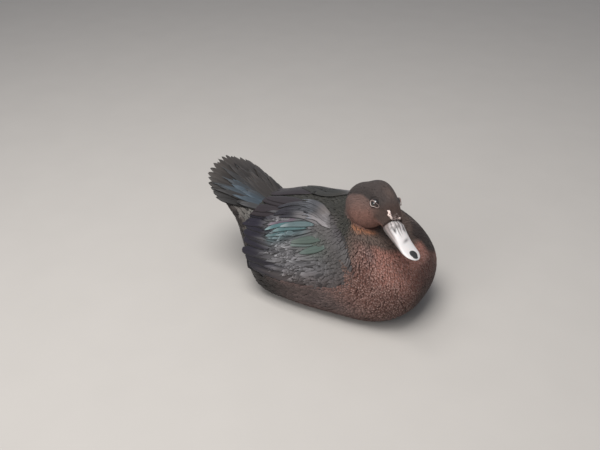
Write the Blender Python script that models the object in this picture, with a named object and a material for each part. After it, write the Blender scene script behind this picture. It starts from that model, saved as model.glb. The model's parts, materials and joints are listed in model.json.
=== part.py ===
"""A young Muscovy-type duck at rest on its belly, life size, parted into its named pieces.

Metres, +Z up. +X is where the breast points, +Y is the duck's left, and the floor is z = 0.
The flesh is one loft from the bill's root to the tail's coverts. A section of it is a rounded
oval that hangs between a point on the back line and a point on the belly line, so the
sections fan round the nape and the shoulder. It is parted at its stations into head, neck,
breast, trunk and rump. Wings and scapulars are plates that hug that surface, the tail is a
plate of its own, and bill, eyes, shanks and feet are solids of their own.
"""

import math
from typing import NamedTuple

import bmesh
import bpy
import numpy as np
from mathutils import Matrix, Vector

MM = 0.001

# Driving dimensions, in millimetres unless a name says otherwise.
GAP = 0.3  # between solids that touch
PLATE_GAP = 0.9  # between the flesh and a plate that hugs it
HEAD_PIVOT = (79.0, -6.0, 153.0)  # where the skull turns on the neck
HEAD_REACH = (15.0, 6.0)  # from the pivot to the head's centre: forward and up
HEAD_TURN_DEG = -33.0  # the head looks to the duck's right
HEAD_ROLL_DEG = -10.0  # with its right eye lifted
HEAD_NOD_DEG = 14.0  # and the bill pointing down
BILL_ROOT = 29.0  # from the head's centre to the bill's root at the mouth
BILL_LENGTH = 57.0
BILL_HALF_WIDTH = 11.6
NAIL_LENGTH = 10.0
NAIL_HALF_WIDTH = 4.4
EYE_RADIUS = 5.4
EYE_PLACE = (8.0, 14.2, 6.0)  # from the head's centre: forward, out, up
TAIL_ROOT = (-72.0, 99.0)  # (x, z) where the tail's feathers start
TAIL_RISE_DEG = 25.5
TAIL_LENGTH = 92.0
TAIL_FEATHERS = 12
TAIL_SPREAD_DEG = 62.0
TAIL_SWING_DEG = 4.0  # towards the duck's right
TAIL_ROOT_HALF_WIDTH = 20.0
TAIL_ARCH = 0.005  # how far its edges droop, per millimetre across squared
TAIL_OUTER_LENGTH = 0.68  # of its outermost feathers, as a share of the middle ones
WING_THICKNESS = 6.0
FLIGHT_THICKNESS = 2.4
FLIGHT_FEATHERS = 7
ANKLE = (18.0, 33.0)  # (x, y) of the left one
TOE_LENGTH = 50.0
TOE_SPREAD_DEG = 23.0  # from the middle toe to each of the others
TOE_BOW = 0.16  # outward bow of the outer toes, as a share of their spread
TOE_HEIGHT = 4.0
WEB_THICKNESS = 1.4
SHANK_RADIUS = 4.0
SHANK_BACK = (-34.0, 42.0)  # (x, y) of its other end, at the heel

RING_POINTS = 28
LOFT_STEP = 0.5  # stations between two rings of the flesh


class Station(NamedTuple):
    """One named section of the flesh, in the plane of symmetry before the head turns."""

    name: str
    top: tuple  # (x, z) on the back line
    bottom: tuple  # (x, z) on the belly line
    half_width: float
    level: float  # of the widest place, as a share of the way from bottom to top
    upper: float  # superellipse exponent above that place: 2 is round, more is fuller
    lower: float  # and below it
    turn: float  # share of the head's turn that the section takes


def nodded(forward, up):
    """(x, z) of a point given from the head's centre, once the head has nodded about its pivot."""
    nod = math.radians(HEAD_NOD_DEG)
    forward, up = forward + HEAD_REACH[0], up + HEAD_REACH[1]
    x = forward * math.cos(nod) + up * math.sin(nod)
    z = up * math.cos(nod) - forward * math.sin(nod)
    return HEAD_PIVOT[0] + x, HEAD_PIVOT[2] + z


STATIONS = (
    Station("bill_root", nodded(35, 4), nodded(27, -11), 11.0, 0.40, 2.2, 2.2, 1.0),
    Station("lores", nodded(28, 11), nodded(20, -16.5), 14.2, 0.42, 2.2, 2.2, 1.0),
    Station("brow", nodded(18, 17), nodded(10, -20.5), 17.0, 0.42, 2.2, 2.3, 1.0),
    Station("crown", nodded(3, 21), nodded(1, -23), 19.2, 0.42, 2.2, 2.3, 1.0),
    Station("poll", nodded(-13, 20), nodded(-5, -25), 20.4, 0.42, 2.2, 2.3, 1.0),
    Station("nape", nodded(-25, 11.5), nodded(-8, -28), 21.0, 0.42, 2.1, 2.2, 0.92),
    Station("upper_neck", (60.0, 157.0), (88.0, 123.5), 22.0, 0.45, 2.1, 2.1, 0.70),
    Station("neck", (51.0, 142.5), (103.0, 121.0), 27.5, 0.50, 2.1, 2.1, 0.36),
    Station("neck_root", (44.0, 133.5), (128.0, 110.0), 39.5, 0.50, 2.1, 2.2, 0.10),
    Station("shoulder", (36.0, 129.0), (147.0, 88.0), 53.0, 0.50, 2.1, 2.4, 0.0),
    Station("breast", (25.0, 126.5), (158.5, 57.0), 65.0, 0.46, 2.1, 2.6, 0.0),
    Station("keel", (12.0, 124.5), (150.0, 22.0), 69.5, 0.44, 2.1, 2.7, 0.0),
    Station("belly", (-5.0, 122.5), (117.0, -3.0), 72.0, 0.42, 2.1, 2.8, 0.0),
    Station("loin", (-25.0, 119.0), (61.0, -5.0), 75.5, 0.38, 2.1, 3.2, 0.0),
    Station("flank", (-45.0, 113.5), (2.0, -5.0), 78.0, 0.35, 2.1, 3.4, 0.0),
    Station("vent", (-60.0, 108.5), (-46.0, -2.0), 75.0, 0.36, 2.1, 3.1, 0.0),
    Station("rump", (-74.0, 105.0), (-80.0, 26.0), 57.5, 0.50, 2.1, 2.3, 0.0),
    Station("tail_root", (-87.0, 107.0), (-101.0, 66.0), 49.0, 0.62, 2.1, 2.1, 0.0),
    Station("coverts", (-103.0, 113.0), (-115.0, 92.0), 47.0, 0.60, 2.1, 2.0, 0.0),
    Station("covert_tips", (-117.0, 119.5), (-127.0, 107.0), 42.0, 0.50, 2.1, 2.0, 0.0),
)
STATION_INDEX = {station.name: i for i, station in enumerate(STATIONS)}
FLESH_PIECES = (
    ("head", "bill_root", "nape", "plumage_brown"),
    ("neck", "nape", "neck_root", "plumage_brown"),
    ("breast", "neck_root", "keel", "plumage_brown"),
    ("trunk", "keel", "vent", "plumage_dark"),
    ("rump", "vent", "covert_tips", "plumage_dark"),
)
LEAVES_BODY_AT = 14.4  # the place, in stations, from which the folded wing runs straight on


class Edge(NamedTuple):
    """Where a plate lies on the flesh at one place of its length."""

    top_place: float  # in stations
    top_angle: float  # degrees from the back line
    bottom_place: float
    bottom_angle: float


WING = (
    Edge(9.0, 50, 9.4, 76),
    Edge(10.2, 40, 10.4, 88),
    Edge(11.3, 38, 11.4, 89),
    Edge(12.4, 38, 12.4, 88),
    Edge(13.5, 36, 13.4, 90),
    Edge(14.4, 26, 14.2, 90),
    Edge(15.3, 18, 14.9, 87),
    Edge(16.1, 14, 15.4, 83),
)
SCAPULARS = (
    Edge(9.8, 24, 9.9, 44),
    Edge(10.9, 13, 10.9, 38),
    Edge(12.0, 10, 12.0, 36),
    Edge(13.0, 14, 13.0, 35),
    Edge(13.8, 21, 13.8, 33),
)
SHIELD_END = 0.68  # share of the wing's length that its coverts take


def along(rows, places):
    """A smooth curve (Catmull-Rom) through rows, read at places counted in rows."""
    rows = np.asarray(rows, float)
    places = np.clip(np.asarray(places, float), 0, len(rows) - 1)
    i = np.minimum(places.astype(int), len(rows) - 2)
    t = (places - i)[..., None]
    before, after = rows[np.maximum(i - 1, 0)], rows[np.minimum(i + 2, len(rows) - 1)]
    start, end = rows[i], rows[i + 1]
    leave, arrive = (end - before) / 2, (after - start) / 2
    return (
        (2 * t**3 - 3 * t**2 + 1) * start
        + (t**3 - 2 * t**2 + t) * leave
        + (3 * t**2 - 2 * t**3) * end
        + (t**3 - t**2) * arrive
    )


def posed(points, share):
    """Points turned and rolled about the head's pivot by a share of the head's turn."""
    turn = math.radians(HEAD_TURN_DEG) * share
    roll = math.radians(HEAD_ROLL_DEG) * share
    x, y, z = (points[..., i] - pivot for i, pivot in enumerate((HEAD_PIVOT[0], 0, HEAD_PIVOT[2])))
    y, z = y * np.cos(roll) - z * np.sin(roll), y * np.sin(roll) + z * np.cos(roll)
    x, y = x * np.cos(turn) - y * np.sin(turn), x * np.sin(turn) + y * np.cos(turn)
    return np.stack([x + HEAD_PIVOT[0], y + HEAD_PIVOT[1] * share, z + HEAD_PIVOT[2]], axis=-1)


def flesh_point(place, angle):
    """Points of the flesh: place counts stations, angle runs in radians from the back line over the left.

    A section is two superellipse halves that meet at its widest place.
    """
    place, angle = np.broadcast_arrays(np.asarray(place, float), np.asarray(angle, float))
    rows = [(*station[1], *station[2], *station[3:]) for station in STATIONS]
    tx, tz, bx, bz, width, level, upper, lower, share = np.moveaxis(along(rows, place), -1, 0)
    c, s = np.cos(angle), np.sin(angle)
    power = np.where(c > 0, upper, lower)
    radius = (np.abs(c) ** power + np.abs(s) ** power) ** (-1 / power)
    height = level + np.where(c > 0, 1 - level, level) * c * radius
    x, z = bx + (tx - bx) * height, bz + (tz - bz) * height
    points = np.stack([x, width * s * radius, np.maximum(z, 0)], axis=-1)
    return posed(points, share)


def flesh_offset(place, angle, out):
    """Points that stand out from the flesh along its normal by so many millimetres."""
    step = 1e-3
    run = flesh_point(place + step, angle) - flesh_point(place - step, angle)
    around = flesh_point(place, angle + step) - flesh_point(place, angle - step)
    normal = np.cross(around, run)
    normal /= np.linalg.norm(normal, axis=-1, keepdims=True)
    return flesh_point(place, angle) + normal * np.asarray(out)[..., None]


def plate_point(edges, s, t, out, side):
    """Points over the flesh: s runs along the edges' rows, t from the top edge to the bottom one, 0 to 1.

    Past the place where the wing leaves the body, the surface runs straight on.
    """
    s, t, out = np.broadcast_arrays(*(np.asarray(v, float) for v in (s, t, out)))
    top_place, top_angle, low_place, low_angle = np.moveaxis(along(edges, s * (len(edges) - 1)), -1, 0)
    place = top_place + (low_place - top_place) * t
    angle = np.radians(top_angle + (low_angle - top_angle) * t)
    held = np.minimum(place, LEAVES_BODY_AT)
    last = np.full_like(held, LEAVES_BODY_AT)
    onward = flesh_offset(last, angle, out) - flesh_offset(last - 0.1, angle, out)
    points = flesh_offset(held, angle, out) + onward * ((place - held) / 0.1)[..., None]
    points[..., 1] *= side
    return points


def material(name, colour, roughness):
    """A Principled material of one colour."""
    made = bpy.data.materials.new(name)
    made.use_nodes = True
    shader = made.node_tree.nodes["Principled BSDF"]
    shader.inputs["Base Color"].default_value = (*colour, 1)
    shader.inputs["Roughness"].default_value = roughness
    shader.inputs["Metallic"].default_value = 0
    made.diffuse_color = (*colour, 1)
    return made


class Duck:
    """Holds the pieces in their collection, and the cutters in another."""

    def __init__(self):
        self.parts = self.collection("duck")
        self.cutters = self.collection("cutters")
        self.finishes = {
            "plumage_dark": material("plumage_dark", (0.035, 0.032, 0.034), 0.6),
            "plumage_brown": material("plumage_brown", (0.09, 0.045, 0.03), 0.75),
            "plumage_gloss": material("plumage_gloss", (0.03, 0.06, 0.06), 0.4),
            "bill_horn": material("bill_horn", (0.72, 0.68, 0.66), 0.45),
            "bill_nail": material("bill_nail", (0.12, 0.13, 0.13), 0.4),
            "eye": material("eye", (0.03, 0.018, 0.012), 0.08),
            "foot_skin": material("foot_skin", (0.09, 0.08, 0.06), 0.6),
        }

    @staticmethod
    def collection(name):
        """A new collection in the scene."""
        made = bpy.data.collections.new(name)
        bpy.context.scene.collection.children.link(made)
        return made

    def add(self, name, mesh, finish, smooth_deg=50):
        """A mesh as a named part."""
        obj = bpy.data.objects.new(name, mesh)
        self.parts.objects.link(obj)
        mesh.materials.append(self.finishes[finish])
        mesh.shade_smooth()
        mesh.set_sharp_from_angle(angle=math.radians(smooth_deg))
        return obj

    def add_cutter(self, name, mesh, grow=0.0):
        """A mesh as a hidden cutter, grown outwards by some millimetres."""
        obj = bpy.data.objects.new(name, mesh)
        self.cutters.objects.link(obj)
        obj.hide_render = True
        obj.display_type = "WIRE"
        if grow:
            swell = obj.modifiers.new("grow", "DISPLACE")
            swell.strength = grow * MM
            swell.mid_level = 0
        return obj

    @staticmethod
    def cut(obj, cutter, operation="DIFFERENCE"):
        """A Boolean on obj, which stays a modifier."""
        step = obj.modifiers.new(operation.lower(), "BOOLEAN")
        step.operation = operation
        step.solver = "EXACT"
        step.object = cutter


def closed_mesh(name, mesh):
    """A bmesh as mesh data, its doubles merged and its faces turned outwards."""
    bmesh.ops.remove_doubles(mesh, verts=mesh.verts, dist=0.01 * MM)
    bmesh.ops.recalc_face_normals(mesh, faces=mesh.faces)
    data = bpy.data.meshes.new(name)
    mesh.to_mesh(data)
    mesh.free()
    return data


def lofted(name, rings):
    """A closed mesh through rings of equally many points, with a fan on each end."""
    rings = np.asarray(rings) * MM
    count, around = rings.shape[:2]
    mesh = bmesh.new()
    grid = [[mesh.verts.new(point) for point in ring] for ring in rings]
    for i in range(count - 1):
        for j in range(around):
            k = (j + 1) % around
            mesh.faces.new((grid[i][j], grid[i][k], grid[i + 1][k], grid[i + 1][j]))
    for ring in (grid[0], grid[-1]):
        centre = mesh.verts.new(sum((vert.co for vert in ring), Vector()) / around)
        for j in range(around):
            mesh.faces.new((ring[j], ring[(j + 1) % around], centre))
    return closed_mesh(name, mesh)


def plate(name, upper, lower):
    """A closed mesh from two grids of points, outer and inner, joined round their rims."""
    mesh = bmesh.new()
    grids = [[[mesh.verts.new(point * MM) for point in row] for row in grid] for grid in (upper, lower)]
    rows, columns = upper.shape[:2]
    for grid in grids:
        for i in range(rows - 1):
            for j in range(columns - 1):
                mesh.faces.new((grid[i][j], grid[i][j + 1], grid[i + 1][j + 1], grid[i + 1][j]))
    border = [(0, j) for j in range(columns - 1)]
    border += [(i, columns - 1) for i in range(rows - 1)]
    border += [(rows - 1, j) for j in range(columns - 1, 0, -1)]
    border += [(i, 0) for i in range(rows - 1, 0, -1)]
    outer, inner = grids
    for (i, j), (k, m) in zip(border, border[1:] + border[:1]):
        mesh.faces.new((outer[i][j], outer[k][m], inner[k][m], inner[i][j]))
    return closed_mesh(name, mesh)


def flesh_rings(first, last, gap):
    """Rings of the flesh between two stations, its end rings drawn in by half a gap."""
    start, end = STATION_INDEX[first], STATION_INDEX[last]
    places = np.linspace(start, end, round((end - start) / LOFT_STEP) + 1)
    angles = np.arange(RING_POINTS) * 2 * math.pi / RING_POINTS
    rings = flesh_point(places[:, None], angles[None, :])
    for edge, inner in ((0, 1), (-1, -2)):
        rings[edge] += section_normal(rings[edge], rings[inner]) * gap / 2
    return rings


def section_normal(ring, inner):
    """The normal of a flat ring that points towards the inner one."""
    quarter = len(ring) // 4
    normal = np.cross(ring[0] - ring[2 * quarter], ring[quarter] - ring[3 * quarter])
    normal /= np.linalg.norm(normal)
    return normal * math.copysign(1.0, float((inner.mean(0) - ring.mean(0)) @ normal))


def make_flesh(duck):
    """Head, neck, breast, trunk and rump, cut from one loft."""
    return {
        name: duck.add(name, lofted(name, flesh_rings(first, last, GAP)), finish)
        for name, first, last, finish in FLESH_PIECES
    }


def head_matrix():
    """From the head's own axes (forward, left, up from its centre, in millimetres) to the duck's."""
    turn = Matrix.Rotation(math.radians(HEAD_TURN_DEG), 4, "Z")
    roll = Matrix.Rotation(math.radians(HEAD_ROLL_DEG), 4, "X")
    nod = Matrix.Rotation(math.radians(HEAD_NOD_DEG), 4, "Y")
    reach = Matrix.Translation((HEAD_REACH[0], 0, HEAD_REACH[1]))
    return Matrix.Translation(HEAD_PIVOT) @ turn @ roll @ nod @ reach


def on_head(points):
    """Points of the head's own axes, carried to the duck's."""
    carry = np.array(head_matrix())
    return np.asarray(points, float) @ carry[:3, :3].T + carry[:3, 3]


BILL_SHARES = (0, 0.07, 0.16, 0.28, 0.42, 0.56, 0.7, 0.79, 0.87, 0.93, 0.97, 1.0)
ARCH_POINTS = 11


def bill_outline(share):
    """(half width, culmen height, mouth height, jaw height) of the bill at a share of its length."""
    rest = min(1.0, (1 - share) / 0.24)  # the last quarter is rounded like a spoon
    round_end = math.sqrt(max(0.0, 1 - (1 - rest) ** 2))
    width = BILL_HALF_WIDTH * (1 - 0.12 * math.sin(math.pi * share)) * round_end
    culmen = 5.5 - 12.5 * math.sin(share * math.pi / 2) ** 0.8
    mouth = -9.2 - 1.2 * math.sin(share * math.pi)
    jaw = mouth - 3.4 + 0.8 * share
    return width, mouth + (culmen - mouth) * (0.25 + 0.75 * round_end), mouth, jaw


def bill_ring(share, top, bottom, width, lean):
    """One ring of half a bill: an arch over a nearly flat floor, leaning forward towards its top."""
    sweep = np.linspace(0, math.pi, ARCH_POINTS)
    arch = np.column_stack([width * np.cos(sweep), np.sin(sweep) ** 0.85 * (top - bottom)])
    inner = np.linspace(-width, width, 5)[1:-1]
    floor = np.column_stack([inner, (1 - (inner / max(width, 1e-6)) ** 2) * 0.12 * (top - bottom)])
    ring = np.vstack([arch, floor])
    forward = BILL_ROOT + share * BILL_LENGTH + lean * ring[:, 1]
    return on_head(np.column_stack([forward, ring[:, 0], bottom + ring[:, 1]]))


def make_bill(duck, head_cutter):
    """Upper bill with its nail, and the narrower lower bill under it."""
    upper, lower = [], []
    for share in BILL_SHARES:
        width, culmen, mouth, jaw = bill_outline(min(share, 0.997))
        lean = 0.5 * (1 - share) ** 2
        upper.append(bill_ring(share - 0.06, culmen, mouth, width, lean))
        lower.append(bill_ring(share * 0.96 - 0.08, jaw, mouth - GAP, width * 0.84, lean))
    nail_at = BILL_ROOT + BILL_LENGTH * 0.94 - NAIL_LENGTH * 0.36
    place = head_matrix() @ Matrix.Translation((nail_at, 0, -8.5))
    shape, seat = (
        nail_plug(duck, name, place, grow) for name, grow in (("nail_shape", 0.0), ("nail_seat", GAP))
    )
    upper_mesh = lofted("bill_upper", upper)
    nail_mesh = upper_mesh.copy()
    top = duck.add("bill_upper", upper_mesh, "bill_horn")
    duck.cut(top, head_cutter)
    duck.cut(top, seat)
    nail = duck.add("bill_nail", nail_mesh, "bill_nail")
    duck.cut(nail, shape, "INTERSECT")
    jaw = duck.add("bill_lower", lofted("bill_lower", lower), "bill_horn")
    duck.cut(jaw, head_cutter)


def nail_plug(duck, name, place, grow):
    """An upright rounded plug over the bill's tip, from which the nail takes its outline."""
    mesh = bmesh.new()
    bmesh.ops.create_uvsphere(mesh, u_segments=16, v_segments=8, radius=MM)
    size = [side + grow for side in (NAIL_LENGTH * 0.62, NAIL_HALF_WIDTH, 12.0)]
    bmesh.ops.scale(mesh, verts=mesh.verts, vec=size)
    metres = place.copy()
    metres.translation = place.translation * MM
    bmesh.ops.transform(mesh, verts=mesh.verts, matrix=metres)
    return duck.add_cutter(name, closed_mesh(name, mesh))


def ball(name, centre, radius):
    """A sphere at a place of the head's own axes."""
    mesh = bmesh.new()
    bmesh.ops.create_uvsphere(mesh, u_segments=14, v_segments=8, radius=radius * MM)
    bmesh.ops.translate(mesh, verts=mesh.verts, vec=Vector(on_head([centre])[0]) * MM)
    return closed_mesh(name, mesh)


def make_eyes(duck, head):
    """Both eyeballs, each in a socket cut into the head."""
    forward, out, up = EYE_PLACE
    for side, name in ((1, "left"), (-1, "right")):
        centre = (forward, side * out, up)
        duck.add(f"eye_{name}", ball(f"eye_{name}", centre, EYE_RADIUS), "eye")
        socket = ball(f"socket_{name}", centre, EYE_RADIUS + GAP)
        duck.cut(head, duck.add_cutter(f"socket_{name}", socket))


def rim(t):
    """How full a plate is between its two edges: 0 at each and 1 in the middle."""
    return np.sqrt(np.maximum(0.0, 1 - (2 * t - 1) ** 4))


def make_coverts(duck, side, name):
    """The wing's covert shield: rounded at the wrist, thickest at its middle."""
    s, t = np.meshgrid(np.linspace(0, 1, 12), np.linspace(0, 1, 9), indexing="ij")
    front = np.sqrt(np.maximum(0.02, 1 - (1 - np.minimum(1, s / 0.3)) ** 2))
    narrow = 0.5 + (t - 0.5) * front
    rear = np.sqrt(np.maximum(0.0, 1 - np.maximum(0, (s - 0.75) / 0.25) ** 2))
    full = rim(t) * front * (0.3 + 0.7 * rear)
    reach = s * SHIELD_END * (1 - 0.10 * (2 * t - 1) ** 2 * s)
    above_flight = np.clip((s - 0.72) / 0.14, 0, 1) * (FLIGHT_THICKNESS + GAP)
    inner = PLATE_GAP + above_flight
    upper = plate_point(WING, reach, narrow, inner + 0.8 + (WING_THICKNESS - 0.8) * full, side)
    lower = plate_point(WING, reach, narrow, inner, side)
    duck.add(f"wing_{name}", plate(f"wing_{name}", upper, lower), "plumage_gloss")


def feathered(t, count):
    """(ridge, tip) of overlapping feathers side by side: how high and how long each is, both 0 to 1."""
    across = (t * count) % 1.0
    return across, np.sqrt(np.maximum(0.0, 1 - (2 * across - 1) ** 2))


def make_flight(duck, side, name, flesh):
    """Secondaries and primaries, one plate of overlapping blades that reach from under the coverts."""
    columns = FLIGHT_FEATHERS * 3 + 1
    s, t = np.meshgrid(np.linspace(0, 1, 6), np.linspace(0, 1, columns), indexing="ij")
    ridge, tip = feathered(np.clip(t, 0, 0.9999), FLIGHT_FEATHERS)
    end = 1.0 - 0.05 * (1 - tip) - 0.12 * t**2
    start = SHIELD_END * 0.9
    reach = start + (end - start) * s
    band = 0.06 + 0.86 * t
    thick = FLIGHT_THICKNESS * (0.5 + 0.5 * ridge) * (1 - 0.45 * s**2)
    upper = plate_point(WING, reach, band, PLATE_GAP + thick, side)
    lower = plate_point(WING, reach, band, PLATE_GAP, side)
    flight = duck.add(f"flight_{name}", plate(f"flight_{name}", upper, lower), "plumage_dark")
    duck.cut(flight, flesh)


def make_scapulars(duck, side, name):
    """The rounded group of shoulder feathers that lies over the wing's upper edge."""
    s, t = np.meshgrid(np.linspace(0, 1, 9), np.linspace(0, 1, 7), indexing="ij")
    front = np.sqrt(np.maximum(0.03, 1 - (1 - np.minimum(1, s / 0.35)) ** 2))
    rear = np.sqrt(np.maximum(0.03, 1 - np.maximum(0, (s - 0.55) / 0.45) ** 2))
    narrow = 0.5 + (t - 0.5) * front * rear
    out = PLATE_GAP + 0.8 + 2.4 * rim(t) * front * rear
    upper = plate_point(SCAPULARS, s, narrow, out, side)
    lower = plate_point(SCAPULARS, s, narrow, PLATE_GAP, side)
    duck.add(f"scapulars_{name}", plate(f"scapulars_{name}", upper, lower), "plumage_gloss")


def tail_point(length, across, out):
    """Points of the tail's slightly arched plane: along it and across it in millimetres, out above it."""
    rise = math.radians(TAIL_RISE_DEG)
    up = out - TAIL_ARCH * across**2
    x = TAIL_ROOT[0] - length * math.cos(rise) - up * math.sin(rise)
    y = across - length * math.tan(math.radians(TAIL_SWING_DEG))
    z = TAIL_ROOT[1] + length * math.sin(rise) + up * math.cos(rise)
    return np.stack([x, y, z], axis=-1)


def make_tail(duck, flesh):
    """The rounded fan of tail feathers, a plate of overlapping blades, the middle ones longest."""
    columns = TAIL_FEATHERS * 3 + 1
    s, t = np.meshgrid(np.linspace(0, 1, 6), np.linspace(-1, 1, columns), indexing="ij")
    ridge, tip = feathered(np.clip(np.abs(t), 0, 0.9999), TAIL_FEATHERS / 2)
    length = TAIL_LENGTH * (1 - (1 - TAIL_OUTER_LENGTH) * np.abs(t) ** 2.2) * (1 - 0.06 * (1 - tip))
    angle = np.radians(TAIL_SPREAD_DEG / 2) * t
    across = TAIL_ROOT_HALF_WIDTH * t + s * length * np.sin(angle)
    thick = 0.7 + 0.9 * (1 - ridge) + 2.4 * (1 - np.abs(t)) * (1 - 0.6 * s)
    upper = tail_point(s * length * np.cos(angle), across, thick)
    lower = tail_point(s * length * np.cos(angle), across, np.zeros_like(thick))
    tail = duck.add("tail", plate("tail", upper, lower), "plumage_dark")
    duck.cut(tail, flesh)


def foot_mesh(name, side):
    """A webbed foot spread flat on the floor: three toes as ridges in a thin web, longest in the middle."""
    s, t = np.meshgrid(np.linspace(0, 1, 6), np.linspace(-1.1, 1.1, 19), indexing="ij")
    reach = (TOE_LENGTH - 6 * t**2 - 6 * np.sin(math.pi * t) ** 2) * s
    nearest = t - np.clip(np.round(t), -1, 1)
    off_toe = reach * np.radians(TOE_SPREAD_DEG) * nearest / (TOE_HEIGHT * 0.62)
    thick = WEB_THICKNESS + (TOE_HEIGHT - WEB_THICKNESS) * np.exp(-(off_toe**2)) * (1 - 0.4 * s)
    bearing = np.radians(TOE_SPREAD_DEG) * t * (1 + TOE_BOW * s * (1 - s))
    x = ANKLE[0] + reach * np.cos(bearing)
    y = side * (ANKLE[1] + reach * np.sin(bearing))
    return plate(name, np.stack([x, y, thick], -1), np.stack([x, y, thick * 0], -1))


def shank_mesh(name, side):
    """The shank, laid on the floor behind the ankle, thicker at both joints."""
    rings = []
    for share in np.linspace(0, 1, 7):
        radius = SHANK_RADIUS * (0.8 + 0.2 * (2 * share - 1) ** 2) * min(1, 0.6 + 6 * min(share, 1 - share))
        sweep = np.arange(8) * math.pi / 4
        x = ANKLE[0] - 0.6 + (SHANK_BACK[0] - ANKLE[0]) * share
        y = ANKLE[1] + (SHANK_BACK[1] - ANKLE[1]) * share + radius * np.cos(sweep)
        z = np.maximum(0, radius * 0.94 + radius * np.sin(sweep))
        rings.append(np.column_stack([np.full(8, x), side * y, z]))
    return lofted(name, rings)


def make_legs(duck, trunk):
    """Shanks and feet, folded flat on the floor under the belly, in pockets of the trunk."""
    for side, name in ((1, "left"), (-1, "right")):
        for kind, shape in (("foot", foot_mesh), ("shank", shank_mesh)):
            mesh = shape(f"{kind}_{name}", side)
            duck.add(f"{kind}_{name}", mesh, "foot_skin")
            duck.cut(trunk, duck.add_cutter(f"{kind}_{name}_pocket", mesh.copy(), GAP))


def centre_on_floor(duck):
    """Moves every piece and cutter so that the origin is under the middle of the whole."""
    bpy.context.view_layer.update()
    graph = bpy.context.evaluated_depsgraph_get()
    corners = np.array([
        Vector(corner) for obj in duck.parts.objects for corner in obj.evaluated_get(graph).bound_box
    ])
    low, high = corners.min(0), corners.max(0)
    shift = Matrix.Translation((-(low[0] + high[0]) / 2, -(low[1] + high[1]) / 2, -low[2]))
    for data in bpy.data.meshes:
        data.transform(shift)


def clear_scene():
    """Removes the startup objects and their meshes."""
    for obj in list(bpy.data.objects):
        bpy.data.objects.remove(obj)
    for data in list(bpy.data.meshes):
        bpy.data.meshes.remove(data)


def main():
    clear_scene()
    duck = Duck()
    flesh_parts = make_flesh(duck)
    whole = lofted("flesh_cutter", flesh_rings(STATIONS[0].name, STATIONS[-1].name, 0))
    flesh = duck.add_cutter("flesh_cutter", whole, GAP)
    make_bill(duck, flesh)
    make_eyes(duck, flesh_parts["head"])
    for side, name in ((1, "left"), (-1, "right")):
        make_coverts(duck, side, name)
        make_flight(duck, side, name, flesh)
        make_scapulars(duck, side, name)
    make_tail(duck, flesh)
    make_legs(duck, flesh_parts["trunk"])
    centre_on_floor(duck)


if __name__ == "__main__":
    main()
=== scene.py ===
"""Looks for a young muscovy-type duck resting on its belly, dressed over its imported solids.

A smooth skin replaces the solids of flesh, and many thousands of thin closed vanes lie over it
in tracts, as feathers do. Shapes are worked out in millimetres in the duck's own frame (x towards
the breast, y to its left, z up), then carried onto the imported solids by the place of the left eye.
"""

import json
import logging
import math
from dataclasses import dataclass, replace
from enum import Enum
from typing import Callable, NamedTuple

import bpy
import numpy as np
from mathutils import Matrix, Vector, kdtree

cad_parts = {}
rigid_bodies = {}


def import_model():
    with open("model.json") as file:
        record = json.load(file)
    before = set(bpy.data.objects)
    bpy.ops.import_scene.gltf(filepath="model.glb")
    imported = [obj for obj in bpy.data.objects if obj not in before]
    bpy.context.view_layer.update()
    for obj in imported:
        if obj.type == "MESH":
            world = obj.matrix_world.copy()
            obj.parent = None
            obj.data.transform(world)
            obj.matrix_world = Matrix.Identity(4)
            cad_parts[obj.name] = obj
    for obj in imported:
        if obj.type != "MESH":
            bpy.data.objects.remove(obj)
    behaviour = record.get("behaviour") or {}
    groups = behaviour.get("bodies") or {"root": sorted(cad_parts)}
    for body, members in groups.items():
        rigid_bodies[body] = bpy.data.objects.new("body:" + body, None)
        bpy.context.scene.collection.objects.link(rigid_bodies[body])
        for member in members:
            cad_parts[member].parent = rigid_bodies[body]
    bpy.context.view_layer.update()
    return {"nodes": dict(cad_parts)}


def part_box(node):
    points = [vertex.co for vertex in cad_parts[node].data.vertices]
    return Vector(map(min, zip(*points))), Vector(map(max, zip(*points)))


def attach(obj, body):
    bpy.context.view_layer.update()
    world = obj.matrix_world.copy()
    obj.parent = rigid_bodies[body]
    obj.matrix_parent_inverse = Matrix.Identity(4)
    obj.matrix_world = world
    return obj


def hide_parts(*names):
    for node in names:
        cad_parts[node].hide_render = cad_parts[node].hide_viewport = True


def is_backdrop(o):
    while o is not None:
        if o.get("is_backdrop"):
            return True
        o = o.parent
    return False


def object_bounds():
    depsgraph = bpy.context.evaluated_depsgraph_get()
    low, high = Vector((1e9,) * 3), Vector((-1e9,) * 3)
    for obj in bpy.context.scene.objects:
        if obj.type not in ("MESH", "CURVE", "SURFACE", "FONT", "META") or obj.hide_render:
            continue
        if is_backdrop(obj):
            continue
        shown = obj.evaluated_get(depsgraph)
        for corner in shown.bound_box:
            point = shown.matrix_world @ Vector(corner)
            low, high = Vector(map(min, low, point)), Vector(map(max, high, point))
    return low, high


Array = np.ndarray
Colour = tuple[float, float, float]
Field = Callable[[Array, Array], Array]
MM = 0.001
BAKE_PATCH = 0.003
log = logging.getLogger("duck")


# -------- the duck's own surfaces


class Station(NamedTuple):
    """One named section of the flesh, in the plane of symmetry before the head turns."""

    name: str
    top: tuple[float, float]
    bottom: tuple[float, float]
    half_width: float
    level: float
    upper: float
    lower: float
    turn: float


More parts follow.
